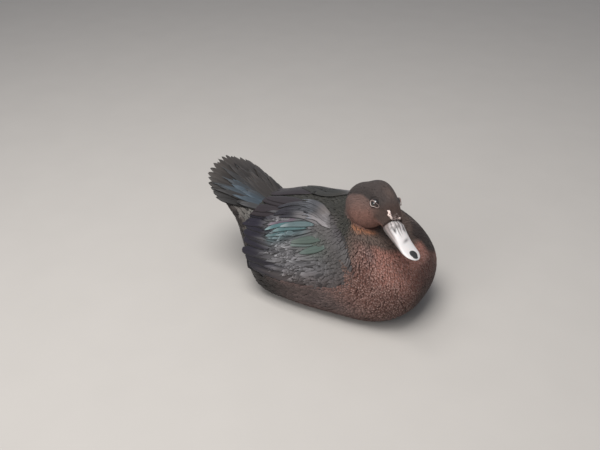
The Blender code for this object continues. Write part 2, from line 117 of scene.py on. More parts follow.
HEAD_PIVOT = (79.0, -6.0, 153.0)
HEAD_REACH = (15.0, 6.0)
HEAD_TURN_DEG = -33.0
HEAD_ROLL_DEG = -10.0
HEAD_NOD_DEG = 14.0
BILL_ROOT = 33.0
BILL_LENGTH = 58.5
BILL_LEAN = 2.6
BILL_HALF_WIDTH = 11.6
EYE_RADIUS = 5.4
EYE_PLACE = (8.0, 14.2, 6.0)
BARE_ROUND_EYE = 7.4
TAIL_ROOT = (-72.0, 99.0)
TAIL_RISE_DEG = 25.5
TAIL_LENGTH = 92.0
TAIL_SPREAD_DEG = 62.0
TAIL_SWING_DEG = 4.0
TAIL_ROOT_HALF_WIDTH = 20.0
TAIL_ARCH = 0.005
TAIL_OUTER_LENGTH = 0.68
WING_LEAVES_BODY_AT = 14.4
JOWL_MIDDLE = (-12.0, -7.0, -15.5)
JOWL_RADII = (29.0, 24.5, 27.0)
JOWL_FIRMNESS = 20.0


def unit(vectors: Array) -> Array:
    """Vectors of length one."""
    return vectors / np.maximum(np.linalg.norm(vectors, axis=-1, keepdims=True), 1e-9)


def circle(count: int) -> Array:
    """Equal steps round a circle, in radians."""
    return np.linspace(0, 2 * math.pi, count, endpoint=False)


def smooth(values: Array, low: float, high: float) -> Array:
    """0 below low, 1 above high, and an S-curve between. With low over high it falls instead of rising."""
    t = np.clip((np.asarray(values, float) - low) / (high - low), 0, 1)
    return t * t * (3 - 2 * t)


def bell(values: Array, middle: float | Array, spread: float) -> Array:
    """A soft bump over values: 1 at its middle, fading on both sides."""
    return np.exp(-(((values - middle) / spread) ** 2))


def oval(place: Array, middle: float, long: float, deg: Array, at: float, high: float) -> Array:
    """A soft oval spot over places and degrees: 1 at its middle, fading over its own length and height."""
    return np.exp(-(((place - middle) / long) ** 2) - ((deg - at) / high) ** 2)


def nodded(forward: float | Array, up: float | Array) -> tuple[float | Array, float | Array]:
    """(x, z) of a point given from the head's centre, once the head has nodded about its pivot."""
    nod = math.radians(HEAD_NOD_DEG)
    forward, up = forward + HEAD_REACH[0], up + HEAD_REACH[1]
    x = forward * math.cos(nod) + up * math.sin(nod)
    z = up * math.cos(nod) - forward * math.sin(nod)
    return HEAD_PIVOT[0] + x, HEAD_PIVOT[2] + z


STATIONS = (
    Station("bill_root", nodded(35.5, 4.2), nodded(32.5, -12.5), 12.6, 0.40, 2.2, 2.2, 1.0),
    Station("lores", nodded(28, 11), nodded(20, -16.5), 14.2, 0.42, 2.2, 2.2, 1.0),
    Station("brow", nodded(18, 17), nodded(10, -23.0), 17.0, 0.42, 2.2, 2.3, 1.0),
    Station("crown", nodded(3, 21), nodded(1, -28.5), 19.4, 0.42, 2.2, 2.3, 1.0),
    Station("poll", nodded(-13, 20), nodded(-4, -34), 21.4, 0.42, 2.2, 2.3, 1.0),
    Station("nape", nodded(-25, 11.5), nodded(-3, -38), 23.5, 0.42, 2.1, 2.2, 0.92),
    Station("upper_neck", (60.0, 157.0), (95.0, 120.0), 26.5, 0.45, 2.1, 2.1, 0.70),
    Station("neck", (51.0, 142.5), (107.0, 117.0), 31.0, 0.50, 2.1, 2.1, 0.36),
    Station("neck_root", (44.0, 133.5), (128.0, 110.0), 39.5, 0.50, 2.1, 2.2, 0.10),
    Station("shoulder", (36.0, 129.0), (147.0, 88.0), 53.0, 0.50, 2.1, 2.4, 0.0),
    Station("breast", (25.0, 126.5), (158.5, 57.0), 65.0, 0.46, 2.1, 2.6, 0.0),
    Station("keel", (12.0, 124.5), (150.0, 22.0), 69.5, 0.44, 2.1, 2.7, 0.0),
    Station("belly", (-5.0, 122.5), (117.0, -3.0), 72.0, 0.42, 2.1, 2.8, 0.0),
    Station("loin", (-25.0, 119.0), (61.0, -5.0), 75.5, 0.38, 2.1, 3.2, 0.0),
    Station("flank", (-45.0, 113.5), (2.0, -5.0), 78.0, 0.35, 2.1, 3.4, 0.0),
    Station("vent", (-60.0, 108.5), (-46.0, -2.0), 75.0, 0.36, 2.1, 3.1, 0.0),
    Station("rump", (-74.0, 105.0), (-80.0, 26.0), 57.5, 0.50, 2.1, 2.3, 0.0),
    Station("tail_root", (-87.0, 107.0), (-101.0, 66.0), 49.0, 0.62, 2.1, 2.1, 0.0),
    Station("coverts", (-103.0, 113.0), (-115.0, 92.0), 47.0, 0.60, 2.1, 2.0, 0.0),
    Station("covert_tips", (-117.0, 119.5), (-127.0, 107.0), 42.0, 0.50, 2.1, 2.0, 0.0),
)
LAST_PLACE = len(STATIONS) - 1.0


def along(rows: object, places: Array) -> Array:
    """A smooth curve (Catmull-Rom) through the rows of a table.

    Args:
        rows: the table.
        places: where to read it, counted in rows.

    Returns:
        A row of values for each place.
    """
    table = np.asarray(rows, float)
    places = np.clip(np.asarray(places, float), 0, len(table) - 1)
    i = np.minimum(places.astype(int), len(table) - 2)
    t = (places - i)[..., None]
    before, after = table[np.maximum(i - 1, 0)], table[np.minimum(i + 2, len(table) - 1)]
    start, end = table[i], table[i + 1]
    leave, arrive = (end - before) / 2, (after - start) / 2
    return (
        (2 * t**3 - 3 * t**2 + 1) * start
        + (t**3 - 2 * t**2 + t) * leave
        + (3 * t**2 - 2 * t**3) * end
        + (t**3 - t**2) * arrive
    )


def posed(points: Array, share: Array) -> Array:
    """Points turned and rolled about the head's pivot.

    Args:
        points: of the nodded head and neck, in millimetres.
        share: how much of the head's turn each point takes, from 0 to 1.

    Returns:
        The points in the duck's own frame.
    """
    turn = math.radians(HEAD_TURN_DEG) * share
    roll = math.radians(HEAD_ROLL_DEG) * share
    x, y, z = (points[..., i] - pivot for i, pivot in enumerate((HEAD_PIVOT[0], 0, HEAD_PIVOT[2])))
    y, z = y * np.cos(roll) - z * np.sin(roll), y * np.sin(roll) + z * np.cos(roll)
    x, y = x * np.cos(turn) - y * np.sin(turn), x * np.sin(turn) + y * np.cos(turn)
    return np.stack([x + HEAD_PIVOT[0], y + HEAD_PIVOT[1] * share, z + HEAD_PIVOT[2]], axis=-1)


def on_head(points: Array) -> Array:
    """Points of the head's own axes (forward, left, up from its centre), nodded and then posed."""
    forward, left, up = (np.asarray(points, float)[..., i] for i in range(3))
    x, z = nodded(forward, up)
    return posed(np.stack([x, left, z], axis=-1), np.ones(x.shape))


def eye_middle(sign: int) -> Array:
    """Middle of an eye in the head's own axes: sign is 1 for the left one and -1 for the right."""
    return np.array([EYE_PLACE[0], EYE_PLACE[1] * sign, EYE_PLACE[2]])


def jowl_reach(points: Array) -> Array:
    """How far points lie from the middle of the cheeks' ball, in that ball's own radii."""
    middle = on_head(np.array(JOWL_MIDDLE))
    axes = on_head(np.array(JOWL_MIDDLE) + np.eye(3)) - middle
    return np.linalg.norm((points - middle) @ axes.T / np.array(JOWL_RADII), axis=-1)


def jowled(points: Array) -> Array:
    """Points pushed out to the cheeks' ball where they lie in it: to log(e^kr + e^k) / k of its radii."""
    middle = on_head(np.array(JOWL_MIDDLE))
    reach = np.maximum(jowl_reach(points), 0.05)
    pushed = np.logaddexp(JOWL_FIRMNESS * reach, JOWL_FIRMNESS) / JOWL_FIRMNESS
    return middle + (points - middle) * (pushed / reach)[..., None]


def bare_flesh(place: Array, angle: Array) -> Array:
    """Points of the flesh without its cheeks: two superellipse halves meet where a section is widest.

    Args:
        place: in stations.
        angle: in radians from the back line, left positive.

    Returns:
        The points, posed with the head's turn.
    """
    place, angle = np.broadcast_arrays(np.asarray(place, float), np.asarray(angle, float))
    rows = [(*station[1], *station[2], *station[3:]) for station in STATIONS]
    tx, tz, bx, bz, width, level, upper, lower, share = np.moveaxis(along(rows, place), -1, 0)
    c, s = np.cos(angle), np.sin(angle)
    power = np.where(c > 0, upper, lower)
    radius = (np.abs(c) ** power + np.abs(s) ** power) ** (-1 / power)
    height = level + np.where(c > 0, 1 - level, level) * c * radius
    x, z = bx + (tx - bx) * height, bz + (tz - bz) * height
    points = np.stack([x, width * s * radius, np.maximum(z, 0)], axis=-1)
    return posed(points, share)


def flesh_point(place: Array, angle: Array) -> Array:
    """Points of the flesh, full cheeks and all."""
    return jowled(bare_flesh(place, angle))


class Chart:
    """A surface with two coordinates, on which feathers are laid out."""

    STEP = (1e-3, 1e-3)

    def surface(self, a: Array, b: Array) -> Array:
        """Points of the bare surface."""
        raise NotImplementedError

    def tangents(self, a: Array, b: Array) -> tuple[Array, Array, Array]:
        """How the surface runs.

        Args:
            a: its first coordinate.
            b: its second.

        Returns:
            The tangents along the first and the second, and the outward normal of length one.
        """
        da, db = self.STEP
        run = (self.surface(a + da, b) - self.surface(a - da, b)) / (2 * da)
        around = (self.surface(a, b + db) - self.surface(a, b - db)) / (2 * db)
        return run, around, unit(np.cross(around, run))

    def at(self, a: Array, b: Array, out: Array) -> Array:
        """Points that stand out from the surface by so many millimetres."""
        return self.surface(a, b) + self.tangents(a, b)[2] * np.asarray(out)[..., None]


@dataclass(frozen=True)
class BodyChart(Chart):
    """The flesh from bill to tail. First coordinate: place in stations. Second: angle, left positive."""

    end: float = LAST_PLACE - 0.01

    def surface(self, a: Array, b: Array) -> Array:
        """Points of the flesh, running straight on past its end."""
        a = np.asarray(a, float)
        held = np.clip(a, 0.01, self.end)
        onward = (flesh_point(held, b) - flesh_point(held - 0.1, b)) / 0.1
        return flesh_point(held, b) + onward * (a - held)[..., None]


@dataclass(frozen=True)
class TailChart(Chart):
    """The arched plane of the tail. First coordinate: millimetres along it. Second: millimetres across."""

    def surface(self, a: Array, b: Array) -> Array:
        """Points of the plane: it rises backwards, droops at its edges and swings to the duck's right."""
        rise = math.radians(TAIL_RISE_DEG)
        up = -TAIL_ARCH * b**2
        x = TAIL_ROOT[0] - a * math.cos(rise) - up * math.sin(rise)
        y = b - a * math.tan(math.radians(TAIL_SWING_DEG))
        z = TAIL_ROOT[1] + a * math.sin(rise) + up * math.cos(rise)
        return np.stack([x, y, z], axis=-1)

    def tangents(self, a: Array, b: Array) -> tuple[Array, Array, Array]:
        """The tangents, with the normal on the upper side."""
        run, around, normal = super().tangents(a, b)
        return run, around, normal * np.sign(normal[..., 2:3])


BODY = BodyChart()
WING = BodyChart(WING_LEAVES_BODY_AT)
TAIL = TailChart()


# -------- meshes


SHIFT = Vector((0, 0, 0))


def settle_on_solids() -> None:
    """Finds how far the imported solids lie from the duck's own frame, by the middle of the left eye."""
    low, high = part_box("eye_left")
    SHIFT[:] = (low + high) / 2 - Vector(on_head(eye_middle(Side.LEFT.value))) * MM


def scene_metres(points: Array) -> Array:
    """Points of the duck's own frame, in millimetres, as scene coordinates in metres."""
    return np.asarray(points, float) * MM + np.array(SHIFT)


def new_object(name: str, data: bpy.types.ID) -> bpy.types.Object:
    """An object of the scene that shows a mesh, a lamp or a camera."""
    made = bpy.data.objects.new(name, data)
    bpy.context.scene.collection.objects.link(made)
    return made


def tube_mesh(name: str, points: Array, layers: dict[str, Array], loop: bool = False) -> bpy.types.Object:
    """Closed tubes as one mesh: quads between the rings of each, and one polygon on each end.

    Args:
        name: of the piece.
        points: tubes x rings x points of a ring x 3, in millimetres.
        layers: arrays of the same first three sizes. Two values make a UV map, four a colour, one a number.
        loop: joins the last ring to the first, in place of the polygons on the ends.

    Returns:
        The object, in the scene, with its faces outwards.
    """
    tubes, rings, ring = points.shape[:3]
    flat = scene_metres(points.reshape(-1, 3))
    start = np.arange(tubes)[:, None, None] * rings * ring
    row = start + np.arange(rings - 1)[None, :, None] * ring
    here, there = np.arange(ring)[None, None, :], (np.arange(ring)[None, None, :] + 1) % ring
    quads = np.stack([row + here, row + there, row + ring + there, row + ring + here], -1).reshape(-1, 4)
    first = start[:, 0] + np.arange(ring)[None, ::-1]
    last = start[:, 0] + (rings - 1) * ring + np.arange(ring)[None, :]
    if loop:
        back = start[:, 0] + (rings - 1) * ring
        home = start[:, 0]
        joint = np.stack([back + here[0], back + there[0], home + there[0], home + here[0]], -1)
        quads = np.concatenate([quads, joint.reshape(-1, 4)])
    ends = [] if loop else [first, last]
    corners = flat[quads] - flat.mean(axis=0)
    volume = np.einsum("ij,ij->i", corners[:, 0], np.cross(corners[:, 1], corners[:, 2])).sum()
    volume += np.einsum("ij,ij->i", corners[:, 0], np.cross(corners[:, 2], corners[:, 3])).sum()
    if volume < 0:
        quads, ends = quads[:, ::-1], [end[:, ::-1] for end in ends]
    loops = np.concatenate([quads.ravel(), *(end.ravel() for end in ends)])
    sizes = np.concatenate([np.full(len(quads), 4), np.full(len(ends) * tubes, ring)])
    return mesh_object(name, flat, loops, sizes, {k: v.reshape(len(flat), -1) for k, v in layers.items()})


def mesh_object(
    name: str, flat: Array, loops: Array, sizes: Array, layers: dict[str, Array]
) -> bpy.types.Object:
    """A mesh from whole arrays, with its UV maps and attributes.

    Args:
        name: of the piece.
        flat: its points, in metres.
        loops: the points of all face corners, face after face.
        sizes: how many corners each face has.
        layers: values at the points, as tube_mesh takes them.

    Returns:
        The object, in the scene.
    """
    mesh = bpy.data.meshes.new(name)
    mesh.vertices.add(len(flat))
    mesh.vertices.foreach_set("co", flat.astype(np.float32).ravel())
    mesh.loops.add(len(loops))
    mesh.loops.foreach_set("vertex_index", loops.astype(np.int32))
    mesh.polygons.add(len(sizes))
    mesh.polygons.foreach_set("loop_start", np.concatenate([[0], np.cumsum(sizes)[:-1]]).astype(np.int32))
    mesh.update(calc_edges=True)
    for key, values in layers.items():
        values = values.astype(np.float32)
        if values.shape[1] == 2:
            mesh.uv_layers.new(name=key).data.foreach_set("uv", values[loops].ravel())
        elif values.shape[1] == 4:
            mesh.attributes.new(key, "FLOAT_COLOR", "POINT").data.foreach_set("color", values.ravel())
        else:
            mesh.attributes.new(key, "FLOAT", "POINT").data.foreach_set("value", values.ravel())
    mesh.shade_smooth()
    mesh.validate()
    return new_object(name, mesh)


def dress(
    piece: bpy.types.Object, material: bpy.types.Material, slot: str, nodes: tuple[str, ...] = ()
) -> None:
    """Gives a piece its material and rides it on the body.

    Args:
        piece: the object.
        material: its only one.
        slot: the record's slot; not used.
        nodes: the solids that it stands for.
    """
    piece.data.materials.clear()
    piece.data.materials.append(material)
    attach(piece, "root")
    if nodes:
        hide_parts(*nodes)
    log.info("%s: %d faces", piece.name, len(piece.data.polygons))


# -------- shader expressions


class Value:
    """A number socket. Using it in an expression adds the Math nodes for it."""

    def __init__(self, tree: "Tree", socket: bpy.types.NodeSocket) -> None:
        """Wraps a socket of a tree."""
        self.tree, self.socket = tree, socket

    def maths(self, operation: str, *others: "Value | float") -> "Value":
        """One Math node on this value and others."""
        return self.tree.node("ShaderNodeMath", {"operation": operation}, dict(enumerate([self, *others])))[0]

    def __add__(self, other: "Value | float") -> "Value":
        """Sum."""
        return self.maths("ADD", other)

    __radd__ = __add__

    def __mul__(self, other: "Value | float") -> "Value":
        """Product."""
        return self.maths("MULTIPLY", other)

    __rmul__ = __mul__

    def __sub__(self, other: "Value | float") -> "Value":
        """Difference."""
        return self.maths("SUBTRACT", other)

    def __rsub__(self, other: float) -> "Value":
        """Difference from a number."""
        return self.maths("MULTIPLY_ADD", -1.0, other)

    def __abs__(self) -> "Value":
        """Size without sign."""
        return self.maths("ABSOLUTE")

    def __pow__(self, other: float) -> "Value":
        """Power."""
        return self.maths("POWER", other)

    def between(self, low: float, high: float) -> "Value":
        """0 at low and 1 at high, with an S-curve between them."""
        return self.tree.node(
            "ShaderNodeMapRange",
            {"interpolation_type": "SMOOTHSTEP"},
            {"Value": self, "From Min": low, "From Max": high, "To Min": 0.0, "To Max": 1.0},
        )["Result"]


class Outputs:
    """The outputs of a node, by name or by number."""

    def __init__(self, tree: "Tree", made: bpy.types.Node) -> None:
        """Wraps a node of a tree."""
        self.tree, self.made = tree, made

    def __getitem__(self, key: str | int) -> Value:
        """One output."""
        return Value(self.tree, self.made.outputs[key])


class Tree:
    """A material's nodes."""

    def __init__(self, name: str) -> None:
        """Starts a material that holds one Principled BSDF."""
        self.material = bpy.data.materials.new(name)
        self.material.use_nodes = True
        self.nodes = self.material.node_tree.nodes
        self.links = self.material.node_tree.links
        self.shader = self.nodes["Principled BSDF"]

    def node(self, kind: str, settings: dict[str, object], inputs: dict[str | int, object]) -> Outputs:
        """Any node: its settings are set first, then its sockets.

        Args:
            kind: the node's type.
            settings: its properties.
            inputs: values or links of its sockets, by name or number.

        Returns:
            The node's outputs.
        """
        made = self.nodes.new(kind)
        for key, value in settings.items():
            setattr(made, key, value)
        for key, value in inputs.items():
            self.feed(made.inputs[key], value)
        return Outputs(self, made)

    def feed(self, socket: bpy.types.NodeSocket, value: object) -> None:
        """Links or sets one input."""
        if isinstance(value, Value):
            self.links.new(value.socket, socket)
        elif isinstance(value, tuple) and len(value) == 3 and len(getattr(socket, "default_value", ())) == 4:
            socket.default_value = (*value, 1.0)
        else:
            socket.default_value = value

    def surface(self, **values: object) -> bpy.types.Material:
        """Feeds the shader's sockets, named with _ for a space, and returns the material."""
        for key, value in values.items():
            self.feed(self.shader.inputs[key.replace("_", " ")], value)
        return self.material

    def mix(
        self, share: Value | float, first: Value | Colour, second: Value | Colour, kind: str = "MIX"
    ) -> Value:
        """A Mix of two colours, share being how much of the second there is."""
        return self.node(
            "ShaderNodeMix",
            {"data_type": "RGBA", "blend_type": kind, "clamp_factor": True},
            {0: share, 6: first, 7: second},
        )[2]

    def attribute(self, name: str) -> Outputs:
        """A mesh attribute."""
        return self.node("ShaderNodeAttribute", {"attribute_name": name}, {})

    def place(self) -> Value:
        """Object coordinates, in metres."""
        return self.node("ShaderNodeTexCoord", {}, {})["Object"]

    def noise(self, vector: Value, scale: float, detail: float = 2.0, rough: float = 0.5) -> Value:
        """Noise from 0 to 1."""
        return self.node(
            "ShaderNodeTexNoise", {}, {"Vector": vector, "Scale": scale, "Detail": detail, "Roughness": rough}
        )[0]

    def vector(self, x: Value | float, y: Value | float, z: Value | float) -> Value:
        """A vector from three numbers."""
        return self.node("ShaderNodeCombineXYZ", {}, {0: x, 1: y, 2: z})[0]

    def bump(self, height: Value, metres: float, strength: float) -> Value:
        """A normal from a height that runs from 0 to 1."""
        inputs = {"Height": height, "Distance": metres, "Strength": strength}
        return self.node("ShaderNodeBump", {}, inputs)[0]

    def tinted(self, colour: Value | Colour, share: Value) -> Value:
        """A colour made lighter or darker by a number round 1."""
        grey = self.node("ShaderNodeCombineColor", {}, {0: share, 1: share, 2: share})[0]
        return self.mix(1.0, colour, grey, "MULTIPLY")


@dataclass(frozen=True)
class FeatherFinish:
    """The finish of a feather's vane: barbs that slant from a shaft, a worn edge and a soft sheen."""

    name: str
    barbs: float = 22.0
    streak: float = 0.4
    shaft: float = 0.2
    roughness: float = 0.66
    sheen: float = 0.06
    relief: float = 0.3
    side_rim: float = 0.3
    tip_power: float = 2.0

    def material(self) -> bpy.types.Material:
        """Builds the nodes: colours come from the mesh, and the Vane map runs across and along a feather."""
        tree = Tree(self.name)
        across_along = tree.node("ShaderNodeUVMap", {"uv_map": "Vane"}, {})[0]
        axes = tree.node("ShaderNodeSeparateXYZ", {}, {0: across_along})
        side = abs(axes[0] * 2.0 - 1.0)
        length = axes[1]
        seed = tree.attribute("seed")["Fac"]
        slanted = (length - side * 0.3) * self.barbs
        streaks = tree.noise(tree.vector(slanted, side * 1.6, seed * 40.0), 1.0, 3.0, 0.65)
        broken = tree.noise(tree.vector(slanted * 0.4, side * 2.5, seed * 23.0), 1.3, 2.0)
        shaft = 1.0 - side.between(0.03, 0.10)
        rim = (side**3.0 * self.side_rim).maths("MAXIMUM", length**self.tip_power).between(0.25, 0.85)
        edge = tree.attribute("edge")
        worn = (rim * (broken.between(0.25, 0.6) * 0.8 + 0.2) * edge["Alpha"]).maths("MINIMUM", 1.0)
        base = tree.mix(worn, tree.attribute("tint")["Color"], edge["Color"])
        shade = 1.0 + (streaks - 0.5) * (2.0 * self.streak) - shaft * self.shaft
        gloss = tree.attribute("tint")["Alpha"]
        height = streaks * 0.7 + shaft * 0.6
        return tree.surface(
            Base_Color=tree.tinted(base, shade),
            Roughness=self.roughness + (streaks - 0.5) * 0.25 - gloss * 0.28,
            Sheen_Weight=self.sheen,
            Sheen_Roughness=0.5,
            Specular_IOR_Level=0.25,
            Normal=tree.bump(height, 0.0003, self.relief),
        )


@dataclass(frozen=True)
class SkinFinish:
    """Down between the feathers: the coat's own markings, darker, with a fine pile."""

    name: str
    dark: float = 0.6

    def material(self) -> bpy.types.Material:
        """Builds the nodes over the mesh's own colours."""
        tree = Tree(self.name)
        pile = tree.noise(tree.place(), 900.0, 3.0, 0.6)
        shade = self.dark + (pile - 0.5) * 0.5
        return tree.surface(
            Base_Color=tree.tinted(tree.attribute("tint")["Color"], shade),
            Roughness=0.85,
            Normal=tree.bump(pile, 0.0004, 0.5),
        )


@dataclass(frozen=True)
class HornFinish:
    """Bill horn: satin, mottled where the mesh says so, with fine growth lines."""

    name: str
    roughness: float = 0.38
    relief: float = 0.25
    streaks: float = 0.0

    def material(self) -> bpy.types.Material:
        """Builds the nodes: edge's alpha says how mottled the horn is, and the Grain map draws it out."""
        tree = Tree(self.name)
        place = tree.place()
        cloud = tree.noise(place, 260.0, 4.0, 0.62)
        if self.streaks:
            grain_map = tree.node("ShaderNodeUVMap", {"uv_map": "Grain"}, {})[0]
            turn = tree.node("ShaderNodeSeparateXYZ", {}, {0: grain_map})
            lines = tree.noise(tree.vector(turn[0] * 5.5, turn[1] * 9.0, 0.0), 1.0, 3.0, 0.6)
            cloud = cloud * (1.0 - self.streaks) + lines * self.streaks
        grain = tree.noise(place, 1500.0, 2.0)
        edge = tree.attribute("edge")
        spots = (cloud + (edge["Alpha"] - 0.5) * 0.9).between(0.48, 0.72)
        base = tree.mix(spots * 0.85, tree.attribute("tint")["Color"], edge["Color"])
        return tree.surface(
            Base_Color=tree.tinted(base, 0.94 + grain * 0.12),
            Roughness=self.roughness + (cloud - 0.5) * 0.2,
            Coat_Weight=0.15,
            Coat_Roughness=0.3,
            Subsurface_Weight=0.08,
            Subsurface_Radius=(0.004, 0.002, 0.0015),
            Normal=tree.bump(cloud * 0.6 + grain * 0.4, 0.0003, self.relief),
        )


@dataclass(frozen=True)
class EyeFinish:
    """A wet eye: black pupil, brown iris with fine spokes, darker rim, under a clear coat."""

    name: str
    pupil: Colour = (0.002, 0.002, 0.002)
    iris: Colour = (0.030, 0.013, 0.007)
    white: Colour = (0.012, 0.009, 0.008)

    def material(self) -> bpy.types.Material:
        """Builds the nodes: tint's red runs from 0 at the pupil's middle to 1 at the back."""
        tree = Tree(self.name)
        polar = tree.attribute("tint")
        away = tree.node("ShaderNodeSeparateColor", {}, {0: polar["Color"]})[0]
        spokes = tree.noise(tree.place(), 2600.0, 2.0)
        iris = tree.tinted(self.iris, 0.6 + spokes * 0.9)
        base = tree.mix(away.between(0.15, 0.17), self.pupil, iris)
        base = tree.mix(away.between(0.27, 0.34), base, self.white)
        return tree.surface(
            Base_Color=base, Roughness=0.06, Coat_Weight=1.0, Coat_Roughness=0.02, Specular_IOR_Level=0.6
        )


@dataclass(frozen=True)
class ScaleFinish:
    """Leathery scaled skin of feet and shanks."""

    name: str
    colour: Colour = (0.085, 0.07, 0.05)
    pale: Colour = (0.20, 0.16, 0.10)

    def material(self) -> bpy.types.Material:
        """Builds the nodes: cells for scales, on object coordinates."""
        tree = Tree(self.name)
        place = tree.place()
        rims = {"feature": "DISTANCE_TO_EDGE"}
        cells = tree.node("ShaderNodeTexVoronoi", rims, {"Vector": place, "Scale": 420.0})[0]
        cloud = tree.noise(place, 90.0, 3.0)
        scale = cells.between(0.0, 0.12)
        base = tree.mix(cloud.between(0.35, 0.75), self.colour, self.pale)
        return tree.surface(
            Base_Color=tree.tinted(base, 0.55 + scale * 0.5),
            Roughness=0.5 + cloud * 0.25,
            Normal=tree.bump(scale, 0.0004, 0.6),
        )


@dataclass(frozen=True)
class StageFinish:
    """The plain pale floor."""

    name: str
    colour: Colour = (0.45, 0.42, 0.385)

    def material(self) -> bpy.types.Material:
        """Builds the nodes: very faint unevenness."""
        tree = Tree(self.name)
        cloud = tree.noise(tree.place(), 14.0, 3.0)
        return tree.surface(Base_Color=tree.tinted(self.colour, 0.97 + cloud * 0.06), Roughness=0.85)


# -------- markings of the coat


def plain(colour: Colour, shape: tuple[int, ...]) -> Array:
    """One colour over a whole shape of points."""
    return np.zeros((*shape, 3)) + np.array(colour)


def blend(base: Array, mask: Array, colour: Colour) -> Array:
    """Colours moved towards one colour by a mask."""
    return base + (np.array(colour) - base) * mask[..., None]


class Marks(NamedTuple):
    """Colours of the coat: the vane's own, its edge's, how strong the edge shows, and its gloss."""

    tint: Array
    edge: Array
    worn: Array
    gloss: Array

    def painted(self) -> Array:
        """The vane's own colours, with the gloss as a fourth value."""
        return np.concatenate([self.tint, self.gloss[..., None]], -1)


